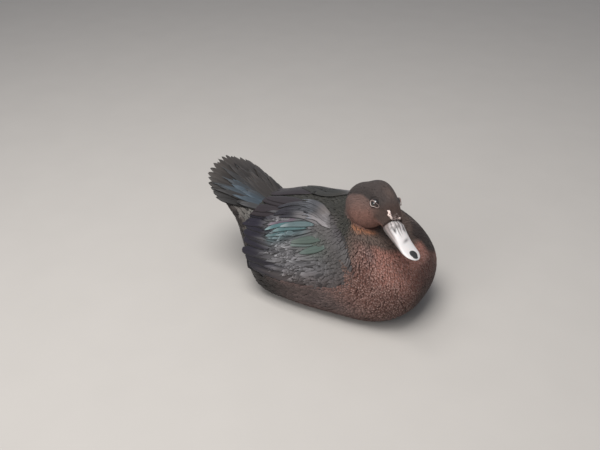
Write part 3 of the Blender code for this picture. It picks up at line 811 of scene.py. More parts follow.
@dataclass(frozen=True)
class Markings:
    """The coat's colours as a function of place and angle on the flesh, for skin and feathers alike."""

    cap: Colour = (0.055, 0.041, 0.036)
    cap_dark: Colour = (0.016, 0.011, 0.009)
    cap_pale: Colour = (0.120, 0.078, 0.062)
    lores: Colour = (0.066, 0.039, 0.030)
    cheek: Colour = (0.200, 0.100, 0.076)
    cheek_top: Colour = (0.135, 0.086, 0.072)
    throat: Colour = (0.26, 0.108, 0.054)
    neck: Colour = (0.088, 0.060, 0.048)
    chest: Colour = (0.122, 0.055, 0.042)
    chest_red: Colour = (0.264, 0.114, 0.086)
    # painted shade colour of the breast's underside
    chest_low: Colour = (0.052, 0.022, 0.016)
    chest_tip: Colour = (0.42, 0.27, 0.23)
    shaded: Colour = (0.034, 0.022, 0.018)
    stray: Colour = (0.34, 0.27, 0.23)
    belly: Colour = (0.075, 0.036, 0.027)
    flank: Colour = (0.085, 0.060, 0.055)
    flank_rear: Colour = (0.020, 0.016, 0.014)
    mantle: Colour = (0.033, 0.031, 0.025)
    mantle_neck: Colour = (0.060, 0.048, 0.039)
    rump: Colour = (0.098, 0.088, 0.078)
    # colour of the bluish sheen painted on the tail coverts
    covert_blue: Colour = (0.052, 0.066, 0.078)
    under_tail: Colour = (0.020, 0.015, 0.013)
    wing_edge: Colour = (0.044, 0.037, 0.039)
    wing_front: Colour = (0.072, 0.065, 0.062)
    wing_mid: Colour = (0.084, 0.079, 0.081)
    wing_low: Colour = (0.078, 0.064, 0.062)
    teal: Colour = (0.066, 0.098, 0.102)
    green: Colour = (0.072, 0.086, 0.070)
    navy: Colour = (0.014, 0.012, 0.018)
    shoulder_front: Colour = (0.104, 0.090, 0.084)
    shoulder_mid: Colour = (0.056, 0.056, 0.060)
    shoulder_rear: Colour = (0.016, 0.014, 0.018)
    shoulder_low: Colour = (0.170, 0.155, 0.155)
    shoulder_edge: Colour = (0.085, 0.092, 0.102)

    def read(self, place: Array, angle: Array) -> Marks:
        """The marks of the body's coat at places and angles.

        Args:
            place: in stations.
            angle: in radians from the back line, left positive.

        Returns:
            The marks, of the same shape as the places.
        """
        place = np.asarray(place, float)
        around = np.degrees(angle)
        deg = np.abs(around)
        tint = plain(self.cheek, place.shape)
        edge_of_cap = np.interp(place, [1.5, 2.6, 3.1, 4.7, 6.5], [58, 60, 66, 68, 44])
        tint = blend(tint, 0.85 * smooth(deg, edge_of_cap + 44, edge_of_cap + 6), self.cheek_top)
        capped = smooth(deg, edge_of_cap + 5, edge_of_cap - 4) * smooth(place, 7.4, 6.4)
        tint = blend(tint, capped, self.cap)
        tint = blend(tint, 0.45 * capped * smooth(around, -38, -58), self.cap_dark)
        tint = blend(tint, 0.6 * capped * oval(place, 2.6, 0.7, deg, 0, 22), self.cap_pale)
        tint = blend(tint, smooth(place, 2.3, 1.2) * smooth(deg, 125, 85), self.lores)
        tint = blend(tint, smooth(place, 5.2, 6.8) * smooth(deg, 50, 22), self.mantle_neck)
        reach = jowl_reach(bare_flesh(np.clip(place, 0, LAST_PLACE), angle))
        off_ball = smooth(reach, 0.97, 1.05) * smooth(place, 4.5, 6.0)
        tint = blend(tint, off_ball, self.neck)
        rust = bell(reach, 1.12, 0.12) * smooth(deg, 58, 72) * smooth(deg, 150, 125)
        tint = blend(tint, 0.85 * rust * (around < 0) * smooth(place, 5.5, 6.5), self.throat)
        tint = blend(tint, smooth(place, 8.2, 9.0) * smooth(deg, 70, 92), self.chest)
        red = smooth(place, 8.1, 8.5) * smooth(place, 10.3, 9.3) * smooth(deg, 96, 112)
        tint = blend(tint, red * 0.8, self.chest_red)
        bluish = oval(place, 8.9, 0.3, deg, 98, 7) * (around < 0)
        tint = blend(tint, bluish * 0.5, self.wing_edge)
        tint = blend(tint, smooth(place, 7.2, 8.0) * smooth(deg, 74, 58) * off_ball, self.mantle)
        # painted shade: the breast's underside made darker, where it faces away from the light
        tint = blend(tint, smooth(place, 9.6, 11.2) * smooth(deg, 100, 140), self.chest_low)
        # painted light: a lighter spot on the chest's front just under the bill, against the bill's shade
        # there
        front = oval(place, 8.5, 0.35, deg, 176, 12)
        tint = tint * (1 + 0.5 * front)[..., None]
        # painted shade: the lower front of the breast made darker, edges and all
        breast_shade = 0.6 * smooth(place, 8.85, 9.3) * smooth(deg, 138, 166)
        tint = tint * (1 - breast_shade)[..., None]
        shoulder = oval(place, 9.4, 0.55, deg, 36, 9)
        tint = blend(tint, 0.9 * shoulder, self.shoulder_front)
        limit = np.interp(place, [8.0, 9.0, 9.6, 10.4, 11.5], [170, 166, 145, 112, 88])
        left = smooth(place, 7.7, 8.0) * smooth(place, 12.0, 11.0) * smooth(around, 50, 75)
        left = left * smooth(around, limit + 5, limit - 9)
        tint = blend(tint, left, self.shaded)
        tint = blend(tint, smooth(place, 11.2, 12.4) * smooth(deg, 112, 145), self.belly)
        flank = smooth(place, 10.9, 12.6) * smooth(deg, 70, 92) * smooth(deg, 135, 112)
        tint = blend(tint, flank, self.flank)
        forward = oval(place, 12.1, 0.6, deg, 92, 11)
        tint = tint * (1 + 0.5 * forward)[..., None]
        tint = blend(tint, smooth(place, 13.2, 14.4) * smooth(deg, 60, 85), self.flank_rear)
        tint = blend(tint, smooth(place, 15.2, 16.2) * smooth(deg, 86, 62), self.rump)
        # painted sheen: a bluish sheen on the sides of the tail coverts
        blue = smooth(place, 17.6, 18.3) * smooth(deg, 22, 34) * smooth(deg, 100, 74)
        tint = blend(tint, blue, self.covert_blue)
        tint = blend(tint, smooth(place, 15.6, 16.6) * smooth(deg, 66, 84), self.under_tail)
        speckled = smooth(place, 8.0, 9.0) * smooth(place, 13.2, 11.0) * smooth(deg, 68, 90) * (1 - left)
        edge = blend(tint * 1.7 + 0.008, speckled, self.chest_tip) * (1 - breast_shade)[..., None]
        worn = 0.15 + 0.65 * speckled * (1 - 0.6 * smooth(deg, 130, 165) * smooth(place, 9.5, 11))
        worn = np.where(place < 7, 0.15, worn)
        stray = left * oval(place, 8.1, 0.45, around, 124, 9)
        edge = blend(edge, stray, self.stray)
        worn = worn + 0.9 * stray
        gloss = 0.3 * smooth(place, 14.0, 15.0) + 0.35 * smooth(place, 8.5, 9.5) * smooth(deg, 60, 40)
        return Marks(tint, edge, worn, gloss)

    def wing(self, place: Array, angle: Array) -> Marks:
        """The marks of the folded wings at places and angles.

        Args:
            place: in stations.
            angle: in radians from the back line. Both sides are alike.

        Returns:
            The marks, of the same shape as the places.
        """
        place = np.asarray(place, float)
        deg = np.abs(np.degrees(angle))
        tint = plain(self.wing_front, place.shape)
        tint = blend(tint, smooth(place, 9.9, 9.0), self.wing_edge)
        tint = blend(tint, 0.85 * oval(place, 9.55, 0.55, deg, 54, 11), self.wing_edge)
        tint = blend(tint, smooth(place, 10.9, 12.0), self.wing_mid)
        tint = blend(tint, smooth(deg, 70, 84), self.wing_low)
        green = oval(place, 11.7, 0.75, deg, 54, 8)
        tint = blend(tint, 0.9 * green, self.green)
        line = 41 + (place - 12.4) * 6
        teal = smooth(place, 11.6, 12.2) * smooth(place, 14.3, 13.9) * bell(deg, line, 5.5)
        tint = blend(tint, teal, self.teal)
        drift = 0.30 * np.sin(deg * 0.45) + 0.22 * np.sin(deg * 1.15 + 1.0)
        bright = oval(place, 12.6, 0.7, deg, 68, 9)
        tint = tint * (1 + 0.4 * bright)[..., None]
        rear = smooth(place + drift + 0.35 * smooth(deg, 60, 74), 13.6, 14.9)
        tint = blend(tint, rear, self.navy)
        edge = tint * 2.0 + (0.10 * (1 - 0.8 * rear))[..., None]
        ragged = bell(place, 13.7, 0.8) * smooth(deg, 26, 36)
        worn = (0.2 * smooth(place, 9.3, 11.0) + 0.75 * ragged) * (0.25 + 0.75 * smooth(place, 15.2, 14.2))
        gloss = 0.2 + 0.4 * smooth(place, 13.4, 14.6) + 0.25 * teal
        return Marks(tint, edge, worn, gloss)

    def shoulder(self, place: Array, angle: Array) -> Marks:
        """The marks of the shoulder feathers: warm grey in front, slate in the middle, dark purple behind.

        Args:
            place: in stations.
            angle: in radians from the back line, left positive. The left side is darker.

        Returns:
            The marks, of the same shape as the places.
        """
        place = np.asarray(place, float)
        deg = np.abs(np.degrees(angle))
        tint = plain(self.shoulder_front, place.shape)
        tint = blend(tint, smooth(place, 10.4, 11.6), self.shoulder_mid)
        rear = smooth(place, 12.0, 13.3) * (0.35 + 0.65 * smooth(deg, 10, 22))
        tint = blend(tint, rear, self.shoulder_rear)
        dark_side = (np.degrees(angle) > 0)[..., None]
        tint = np.where(dark_side, tint * 0.10 + np.array(self.mantle) * 0.6, tint)
        edge = tint * 1.6 + np.array(self.shoulder_edge) * (1 - 0.75 * rear)[..., None]
        low = smooth(deg, 23, 29) * smooth(place, 12.9, 12.2)
        tint = blend(tint, 0.9 * low, self.shoulder_low)
        worn = 0.40 + 0.45 * low + 0.35 * smooth(deg, 20, 12) * smooth(place, 10, 11) * smooth(place, 13, 12)
        return Marks(tint, np.where(dark_side, tint * 1.5, edge), worn, 0.45 + 0 * place)


MARKINGS = Markings()


# -------- feathers


@dataclass(frozen=True)
class VaneShape:
    """The form that all feathers of one tract share."""

    rows: int = 6
    columns: int = 5
    thickness: float = 0.3
    camber: float = 0.25
    broad_at: float = 0.55
    root: float = 0.35
    fray: float = 0.0
    point: float = 2.0


@dataclass
class Plot:
    """Where each feather of a tract stands, which way it lies and how large it is, one value a feather."""

    a: Array
    b: Array
    heading: Array | float
    length: Array | float
    width: Array | float
    base: Array | float
    lift: Array | float
    bend: Array | float = 0.0
    roll: Array | float = 0.0

    def __post_init__(self) -> None:
        """Spreads single numbers over all feathers."""
        count = len(np.atleast_1d(self.a))
        for key, values in list(vars(self).items()):
            setattr(self, key, np.broadcast_to(np.asarray(values, float), (count,)).copy())


class Grown(NamedTuple):
    """Feathers as points, with the coordinates that their colours are worked out from."""

    points: Array
    a: Array
    b: Array
    across: Array
    along: Array


def chart_steps(way: Array, run: Array, around: Array) -> tuple[Array, Array]:
    """How far a chart's two coordinates go for one millimetre in a direction.

    Args:
        way: the direction, of length one.
        run: the chart's tangent along its first coordinate.
        around: its tangent along the second.

    Returns:
        The two steps.
    """
    rr, ra, aa = (run * run).sum(-1), (run * around).sum(-1), (around * around).sum(-1)
    wr, wa = (way * run).sum(-1), (way * around).sum(-1)
    det = rr * aa - ra**2
    return (aa * wr - ra * wa) / det, (rr * wa - ra * wr) / det


def grow(chart: Chart, plot: Plot, shape: VaneShape, ground: Field, seed: int) -> Grown:
    """Grows closed vanes over a surface.

    A feather's middle line is walked in equal steps in the heading given, turning by its bend. Each
    step has a ring: an upper side from edge to edge, cambered, and a lower side a thickness below it.
    The half width rises from the root, is full at broad_at, and rounds off to the tip.

    Args:
        chart: the surface.
        plot: the feathers.
        shape: their common form.
        ground: height of what they lie on, over the chart, in millimetres.
        seed: of the uneven edges.

    Returns:
        The feathers' points and coordinates.
    """
    rng = np.random.default_rng(seed)
    count = len(plot.a)
    u = 1 - (1 - np.linspace(0, 1, shape.rows)) ** 1.35
    upper = np.linspace(-1, 1, shape.columns)
    v = np.concatenate([upper, upper[1:-1][::-1]])
    under = np.concatenate([np.zeros(shape.columns), np.ones(shape.columns - 2)])
    rise = np.sin(np.minimum(1, u / shape.broad_at) * math.pi / 2)
    full = np.minimum(1, shape.root + (1 - shape.root) * rise)
    past = np.clip((u - shape.broad_at) / (1 - shape.broad_at), 0, 0.995)
    half = full * (1 - past**shape.point) ** (1 / shape.point)
    a, b = plot.a.copy(), plot.b.copy()
    at_a, at_b = [], []
    notch = 1 + shape.fray * rng.uniform(-1, 0.3, (count, len(upper)))
    notch = np.concatenate([notch, notch[:, 1:-1][:, ::-1]], axis=1)
    for k in range(shape.rows):
        run, around, _ = chart.tangents(a, b)
        e1 = unit(run)
        e2 = unit(around - (around * e1).sum(-1, keepdims=True) * e1)
        turn = plot.heading + plot.bend * u[k]
        c, s = np.cos(turn)[:, None], np.sin(turn)[:, None]
        forth, cross = c * e1 + s * e2, c * e2 - s * e1
        fa, fb = chart_steps(forth, run, around)
        ca, cb = chart_steps(cross, run, around)
        side = plot.width[:, None] / 2 * half[k] * v[None, :]
        ahead = plot.length[:, None] * u[k] * (notch - 1) if shape.fray else np.zeros_like(side)
        ahead = ahead * smooth(np.array(u[k]), 0.6, 1.0)
        at_a.append(a[:, None] + ca[:, None] * side + fa[:, None] * ahead)
        at_b.append(b[:, None] + cb[:, None] * side + fb[:, None] * ahead)
        if k + 1 < shape.rows:
            stride = plot.length * (u[k + 1] - u[k])
            a, b = a + fa * stride, b + fb * stride
    a3, b3 = np.stack(at_a, 1), np.stack(at_b, 1)
    arch = (1 - v**2)[None, None, :] * half[None, :, None]
    out = plot.base[:, None, None] + plot.lift[:, None, None] * u[None, :, None]
    out = out + arch * (shape.camber - shape.thickness * under[None, None, :])
    out = out + plot.roll[:, None, None] * v[None, None, :] * half[None, :, None]
    out = out + ground(a3, b3)
    u3 = np.broadcast_to(u[None, :, None], a3.shape)
    v3 = np.broadcast_to(v[None, None, :], a3.shape)
    return Grown(chart.at(a3, b3, out), a3, b3, v3, u3)


def over_points(values: Array, shape: tuple[int, ...]) -> Array:
    """Values of whole feathers, or of their points, as columns over all points."""
    if values.ndim in (1, 3):
        values = values[..., None]
    if values.ndim == 2:
        values = values[:, None, None, :]
    return np.broadcast_to(values, (*shape, values.shape[-1]))


def coat_piece(
    name: str,
    grown: Grown,
    marks: Marks,
    bake: Array,
    finish: FeatherFinish,
    slot: str,
    nodes: tuple[str, ...],
    seed: int,
) -> None:
    """Makes one piece of a tract's feathers.

    Args:
        name: of the piece.
        grown: its feathers.
        marks: colours for each feather or for each of its points.
        bake: each root's place on the unwrap, feathers x 2, the middle of that feather's patch.
        finish: the material.
        slot: the record's slot.
        nodes: the solids that it stands for.
        seed: of the feathers' own variation.
    """
    count, rows, ring = grown.a.shape
    rng = np.random.default_rng(seed)
    own = rng.uniform(0, 1, count)[:, None, None]
    shape = grown.a.shape
    tint = np.concatenate([over_points(marks.tint, shape), over_points(marks.gloss, shape)], -1)
    edge = np.concatenate([over_points(marks.edge, shape), over_points(marks.worn, shape)], -1)
    vane = np.stack([grown.across * 0.5 + 0.5, grown.along], -1)
    spot = bake[:, None, None, :] + BAKE_PATCH * np.stack([grown.across * 0.5, grown.along - 0.5], -1)
    layers = {
        "Vane": vane,
        "OFBake": spot,
        "tint": tint,
        "edge": edge,
        "seed": np.broadcast_to(own, (count, rows, ring)),
    }
    dress(tube_mesh(name, grown.points, layers), finish.material(), slot, nodes)


def unwrap(place: Array, angle: Array, low: float, high: float) -> Array:
    """The skin's own unwrap: angle across, and place upwards from low to high."""
    return np.stack([0.5 + angle / (2 * math.pi) * 0.96, 0.02 + 0.96 * (place - low) / (high - low)], -1)


def side_unwrap(place: Array, angle: Array) -> Array:
    """The unwrap of the flesh under a wing: place across, and angle down from the back line upwards."""
    return np.stack([0.04 + 0.92 * (place - 8.0) / 9.0, 0.04 + 0.92 * angle / 1.7], -1)


def scattered(low: float, high: float, spacing: Field, keep: Field, seed: int) -> tuple[Array, Array]:
    """Roots of feathers over the flesh, never closer than their spacing.

    Candidates are drawn by area, then taken in random order, each clearing the others round it.

    Args:
        low: first place.
        high: last place.
        spacing: millimetres between roots, over place and angle.
        keep: which places and angles the tract covers.
        seed: of the draw.

    Returns:
        The places and angles.
    """
    rng = np.random.default_rng(seed)
    tries, crowding = 160000, 4.2
    place, angle = rng.uniform(low, high, tries), rng.uniform(-math.pi, math.pi, tries)
    inside = keep(place, np.degrees(np.abs(angle)))
    place, angle = place[inside], angle[inside]
    run, around, _ = BODY.tangents(place, angle)
    gap = spacing(place, np.degrees(np.abs(angle)))
    weight = np.linalg.norm(np.cross(run, around), axis=-1) / gap**2
    wanted = weight.sum() / tries * (high - low) * 2 * math.pi * crowding
    chosen = rng.uniform(0, 1, len(place)) < weight / weight.sum() * wanted
    place, angle, gap = place[chosen], angle[chosen], gap[chosen]
    points = BODY.surface(place, angle)
    tree = kdtree.KDTree(len(points))
    for i, point in enumerate(points):
        tree.insert(point, i)
    tree.balance()
    free = np.ones(len(points), bool)
    roots = []
    for i in range(len(points)):
        if free[i]:
            roots.append(i)
            for _, j, _ in tree.find_range(points[i], gap[i]):
                free[j] = False
    return place[roots], angle[roots]


class Side(Enum):
    """The duck's own sides, as the sign of y."""

    LEFT = 1
    RIGHT = -1

    @property
    def tag(self) -> str:
        """The side's name in lower case."""
        return self.name.lower()


# -------- skin and body coat


def coat_depth(place: Array) -> Array:
    """How far the skin lies inside the coat's surface, in millimetres."""
    return 0.8 + 0.4 * smooth(place, 5.0, 7.0) + 0.5 * smooth(place, 7.4, 9.0)


def bulge(place: Array, angle: Array) -> Array:
    """How far a folded wing stands out over the flesh, in millimetres, over place and angle."""
    deg = np.abs(np.degrees(angle))
    length = smooth(place, 8.6, 10.6) * smooth(place, 15.9, 13.2)
    return 4.2 * length * smooth(deg, 6, 34) * smooth(deg, 96, 80)


@dataclass(frozen=True)
class Skin:
    """One smooth skin from the bill's base to the tail's root."""

    rows: int = 280
    columns: int = 168

    def build(self) -> None:
        """Builds the skin, the coat's depth inside the flesh, with the coat's own markings."""
        place = np.linspace(0, LAST_PLACE, self.rows)[:, None]
        angle = np.linspace(-math.pi, math.pi, self.columns, endpoint=False)[None, :]
        place, angle = np.broadcast_arrays(place, angle)
        points = BODY.at(place, angle, -coat_depth(place))
        tint = MARKINGS.read(place, angle).painted()
        piece = tube_mesh("skin", points[None], {"tint": tint[None]})
        nodes = ("head", "neck", "breast", "trunk", "rump")
        dress(piece, SkinFinish("down").material(), "plumage_brown", nodes)


@dataclass(frozen=True)
class Tract:
    """One tract of the body's coat, between two places and two angles, as one piece.

    A feather that would reach further than longest times its length is left out.
    """

    name: str
    low: float
    high: float
    shape: VaneShape
    closeness: float
    seed: int
    slot: str = "plumage_brown"
    lowest: float = 0.0
    highest: float = 180.0
    over: float = 0.0
    longest: float = 1.35

    @staticmethod
    def size(place: Array, deg: Array) -> Array:
        """Length of the feathers in millimetres: smallest on the face, longest at rump and tail coverts."""
        lengths = np.interp(
            place,
            [0.3, 1.5, 3.0, 5.0, 6.5, 7.5, 8.6, 10.2, 11.8, 13.0, 15.0, 17.0, 19.0],
            [1.7, 2.0, 2.5, 3.2, 4.2, 4.9, 5.3, 5.8, 7.0, 9.0, 12.0, 14.0, 18.0],
        )
        back = smooth(place, 8.6, 10.5) * smooth(deg, 40, 22)
        return lengths * (1 + 0.5 * back)

    @staticmethod
    def under_wing(place: Array, deg: Array) -> Array:
        """True where the folded wing's long feathers hide the body."""
        places = [9.6, 10.4, 11.2, 12.0, 13.0, 13.8, 14.4, 15.3, 16.1]
        top = np.interp(place, places, [60, 34, 20, 17, 20, 22, 22, 24, 28])
        front = np.interp(deg, [60, 74, 86], [10.0, 10.3, 11.0])
        return (place > front) & (place < 15.4) & (deg > top) & (deg < 86)

    def covers(self, place: Array, deg: Array) -> Array:
        """True where this tract grows, which is nowhere on the bare skin round an eye.

        Args:
            place: in stations.
            deg: in degrees from the back line, on both sides.

        Returns:
            A mask of the same shape.
        """
        near = np.full(place.shape, np.inf)
        for side in Side:
            points = BODY.surface(place, side.value * np.radians(deg))
            near = np.minimum(near, np.linalg.norm(points - on_head(eye_middle(side.value)), axis=-1))
        feathered = (near > BARE_ROUND_EYE) | (place > 5)
        return feathered & ~self.under_wing(place, deg) & (deg >= self.lowest) & (deg <= self.highest)

    def build(self) -> None:
        """Scatters the roots, sizes the feathers and grows them."""
        place, angle = scattered(
            self.low, self.high, lambda a, deg: self.closeness * self.size(a, deg), self.covers, self.seed
        )
        deg = np.degrees(np.abs(angle))
        rng = np.random.default_rng(self.seed + 100)
        length = self.size(place, deg) * rng.normal(1, 0.09, len(place)).clip(0.75, 1.25)
        depth = coat_depth(place)
        sunk = np.interp(place, [6, 8], [0.45, 0.8])
        plot = Plot(
            a=place,
            b=angle,
            heading=rng.normal(0, 0.10, len(place)),
            length=length,
            width=length * np.interp(place, [0, 6, 9, 14, 19], [0.62, 0.58, 0.48, 0.52, 0.5]),
            base=self.over * smooth(deg, 104, 90) * smooth(place, 9.4, 10.6) - depth * sunk,
            lift=depth * sunk * rng.uniform(1.0, 1.25, len(place)),
            bend=rng.normal(0, 0.10, len(place)),
            roll=rng.normal(0, 0.12, len(place)) * depth * 0.3,
        )
        grown = grow(BODY, plot, self.shape, bulge, self.seed)
        reach = np.linalg.norm(grown.points - grown.points[:, :1, :1], axis=-1).max(axis=(1, 2))
        sound = reach < self.longest * length
        grown = Grown(*(values[sound] for values in grown))
        place, angle = place[sound], angle[sound]
        marks = MARKINGS.read(place, angle)
        varied = np.interp(place, [6, 8], [0.09, 0.15])
        light = (1 + varied * rng.normal(0, 1, len(place))).clip(0.6, 1.5)[:, None]
        marks = marks._replace(tint=marks.tint * light, worn=marks.worn * rng.uniform(0.1, 1.3, len(place)))
        bake = unwrap(place, angle, self.low, self.high)
        coat_piece(self.name, grown, marks, bake, PLUMAGE, self.slot, (), self.seed)


PLUMAGE = FeatherFinish("plumage")
SLEEK = FeatherFinish(
    "sleek_plumage", barbs=34.0, streak=0.3, shaft=0.2, roughness=0.58, side_rim=0.6, tip_power=3.0
)
RAGGED = FeatherFinish("ragged_plumage", barbs=26.0, streak=0.5, shaft=0.25, side_rim=0.5, tip_power=2.4)
FACE = VaneShape(rows=4, columns=3, thickness=0.12, camber=0.10, root=0.45, fray=0.06)
SMALL = VaneShape(rows=5, columns=5, thickness=0.12, camber=0.14, root=0.4, fray=0.09)
BROAD = VaneShape(rows=6, columns=5, thickness=0.14, camber=0.18, root=0.4, fray=0.08)
TRACTS = (
    Tract("face_feathers", 0.06, 3.4, FACE, 0.38, 11),
    Tract("nape_feathers", 3.4, 6.4, FACE, 0.36, 12),
    Tract("neck_feathers", 6.4, 8.6, SMALL, 0.33, 13),
    Tract("breast_feathers", 8.6, 10.2, SMALL, 0.31, 14, lowest=50.0),
    Tract("keel_feathers", 10.2, 11.8, SMALL, 0.31, 18, lowest=50.0, over=2.2),
    Tract("mantle_feathers", 8.6, 15.4, BROAD, 0.32, 15, "plumage_dark", highest=50.0),
    Tract("flank_feathers", 11.8, 13.4, BROAD, 0.31, 16, lowest=50.0, over=2.2),
    Tract("belly_feathers", 13.4, 15.6, BROAD, 0.31, 19, lowest=50.0, over=2.2),
    Tract("rump_feathers", 15.4, 18.95, BROAD, 0.30, 17, "plumage_dark"),
)


# -------- wings


class Edge(NamedTuple):
    """One row of a wing's outline on the flesh: its upper and lower edge, as places and degrees."""

    top_place: float
    top_angle: float
    low_place: float
    low_angle: float


WING_EDGES = (
    Edge(9.0, 50, 9.4, 76),
    Edge(10.2, 40, 10.4, 88),
    Edge(11.3, 38, 11.4, 89),
    Edge(12.4, 38, 12.4, 88),
    Edge(13.5, 36, 13.4, 90),
    Edge(14.4, 26, 14.2, 90),
    Edge(15.3, 18, 14.9, 87),
    Edge(16.1, 14, 15.4, 83),
)
SCAPULAR_EDGES = (
    Edge(9.8, 24, 9.9, 44),
    Edge(10.9, 13, 10.9, 38),
    Edge(12.0, 10, 12.0, 36),
    Edge(13.0, 14, 13.0, 35),
    Edge(13.8, 21, 13.8, 33),
)


@dataclass(frozen=True)
class SidedChart(Chart):
    """A surface on one side of the duck."""

    side: Side

    def tangents(self, a: Array, b: Array) -> tuple[Array, Array, Array]:
        """The tangents, with the normal away from the body's middle."""
        run, around, normal = super().tangents(a, b)
        return run, around, normal * self.side.value


@dataclass(frozen=True)
class WingChart(SidedChart):
    """A fold of the wing. First coordinate: rows of its outline. Second: 0 at its top edge, 1 at its low."""

    edges: tuple[Edge, ...]

    def flesh(self, a: Array, b: Array) -> tuple[Array, Array]:
        """Place and signed angle on the flesh under a point of the chart."""
        a = np.asarray(a, float)
        last = len(self.edges) - 1.0
        held = np.clip(a, 0.0, last)
        step = 0.05
        rows = np.moveaxis(along(self.edges, held), -1, 0)
        beyond = (rows - np.moveaxis(along(self.edges, held - step), -1, 0)) / step
        before = (np.moveaxis(along(self.edges, held + step), -1, 0) - rows) / step
        rows = rows + beyond * np.maximum(0, a - last) + before * np.minimum(0, a)
        place = rows[0] + (rows[2] - rows[0]) * b
        return place, np.radians(rows[1] + (rows[3] - rows[1]) * b) * self.side.value

    def surface(self, a: Array, b: Array) -> Array:
        """Points of the flesh, running straight on where the wing leaves the body."""
        return WING.surface(*self.flesh(a, b))


@dataclass(frozen=True)
class SideChart(SidedChart):
    """One side of the flesh: place in stations, and radians down from the back line."""

    def surface(self, a: Array, b: Array) -> Array:
        """Points of the flesh on this side, running straight on where the wing leaves the body."""
        return WING.surface(a, b * self.side.value)


class Line(NamedTuple):
    """A line over one side of the flesh, from its upper to its lower end, in stations and degrees."""

    top_place: float
    top_deg: float
    low_place: float
    low_deg: float

    def at(self, share: Array) -> tuple[Array, Array]:
        """Places and radians at shares of the line."""
        deg = self.top_deg + (self.low_deg - self.top_deg) * share
        return self.top_place + (self.low_place - self.top_place) * share, np.radians(deg)


@dataclass(frozen=True)
class Group:
    """One group of a wing's feathers, side by side between a line of roots and a line of tips."""

    name: str
    count: int
    roots: Line
    tips: Line
    width: float
    shape: VaneShape
    base: float = 0.5
    lift: float = 1.8
    roll: float = 0.5
    jitter: float = 0.05
    own: Colour | None = None


LONG_VANE = VaneShape(
    rows=16, columns=7, thickness=0.25, camber=0.35, broad_at=0.3, root=0.5, point=2.2, fray=0.01
)
FLIGHT_VANE = replace(LONG_VANE, camber=0.3, point=3.2)
RAGGED_VANE = VaneShape(
    rows=9, columns=7, thickness=0.18, camber=0.25, broad_at=0.4, root=0.4, point=1.8, fray=0.2
)
BLADE_VANE = VaneShape(rows=14, columns=7, thickness=0.25, camber=0.4, broad_at=0.4, root=0.5, point=1.7)
OWN_GLOSS = 0.45
GROUPS = (
    Group("primaries", 3, Line(13.6, 80, 13.7, 87), Line(15.1, 76, 14.6, 87), 11, FLIGHT_VANE, 0.0, 0.5, 0.3),
    Group("secondaries", 13, Line(12.9, 26, 12.8, 83), Line(16.5, 22, 14.85, 83), 15, FLIGHT_VANE, 0.5, 0.8,
          roll=0.4),
    Group("tertials", 4, Line(12.4, 13, 12.9, 27), Line(16.1, 4, 16.9, 23), 19, LONG_VANE, 0.9, 1.2,
          own=(0.026, 0.020, 0.022)),
    Group("greater_coverts", 18, Line(12.5, 24, 12.1, 74), Line(14.7, 30, 13.7, 86), 9, RAGGED_VANE, 0.5, 1.7,
          jitter=0.085),
    Group("median_coverts", 15, Line(11.3, 28, 11.2, 70), Line(13.6, 36, 13.0, 83), 9, RAGGED_VANE, 0.6,
          jitter=0.085),
)


class Blade(NamedTuple):
    """One feather that stands out from its neighbours."""

    root: tuple[float, float]
    tip: tuple[float, float]
    width: float
    over: float
    tint: Colour
    edge: Colour
    worn: float


BLADES = (
    Blade((12.1, 32.0), (14.0, 40.5), 7.0, 1.2, (0.085, 0.066, 0.080), (0.26, 0.21, 0.24), 0.8),
    Blade((12.2, 44.5), (14.1, 51.0), 8.0, 1.0, (0.052, 0.092, 0.096), (0.16, 0.20, 0.20), 0.7),
    Blade((11.9, 39.0), (13.7, 46.0), 8.5, 1.3, (0.058, 0.105, 0.108), (0.20, 0.26, 0.26), 0.7),
    Blade((11.3, 36.5), (13.3, 42.5), 8.0, 1.6, (0.078, 0.110, 0.112), (0.28, 0.31, 0.31), 0.8),
    Blade((12.6, 36.0), (14.2, 45.0), 7.0, 1.7, (0.062, 0.120, 0.124), (0.26, 0.33, 0.33), 0.8),
    Blade((11.5, 52.0), (12.9, 57.5), 8.5, 0.9, (0.085, 0.108, 0.098), (0.17, 0.20, 0.18), 0.5),
    Blade((10.9, 49.0), (12.8, 58.5), 10.0, 1.2, (0.062, 0.082, 0.068), (0.13, 0.15, 0.13), 0.6),
    Blade((10.9, 56.0), (12.5, 65.5), 9.0, 1.3, (0.070, 0.094, 0.080), (0.13, 0.15, 0.14), 0.5),
)


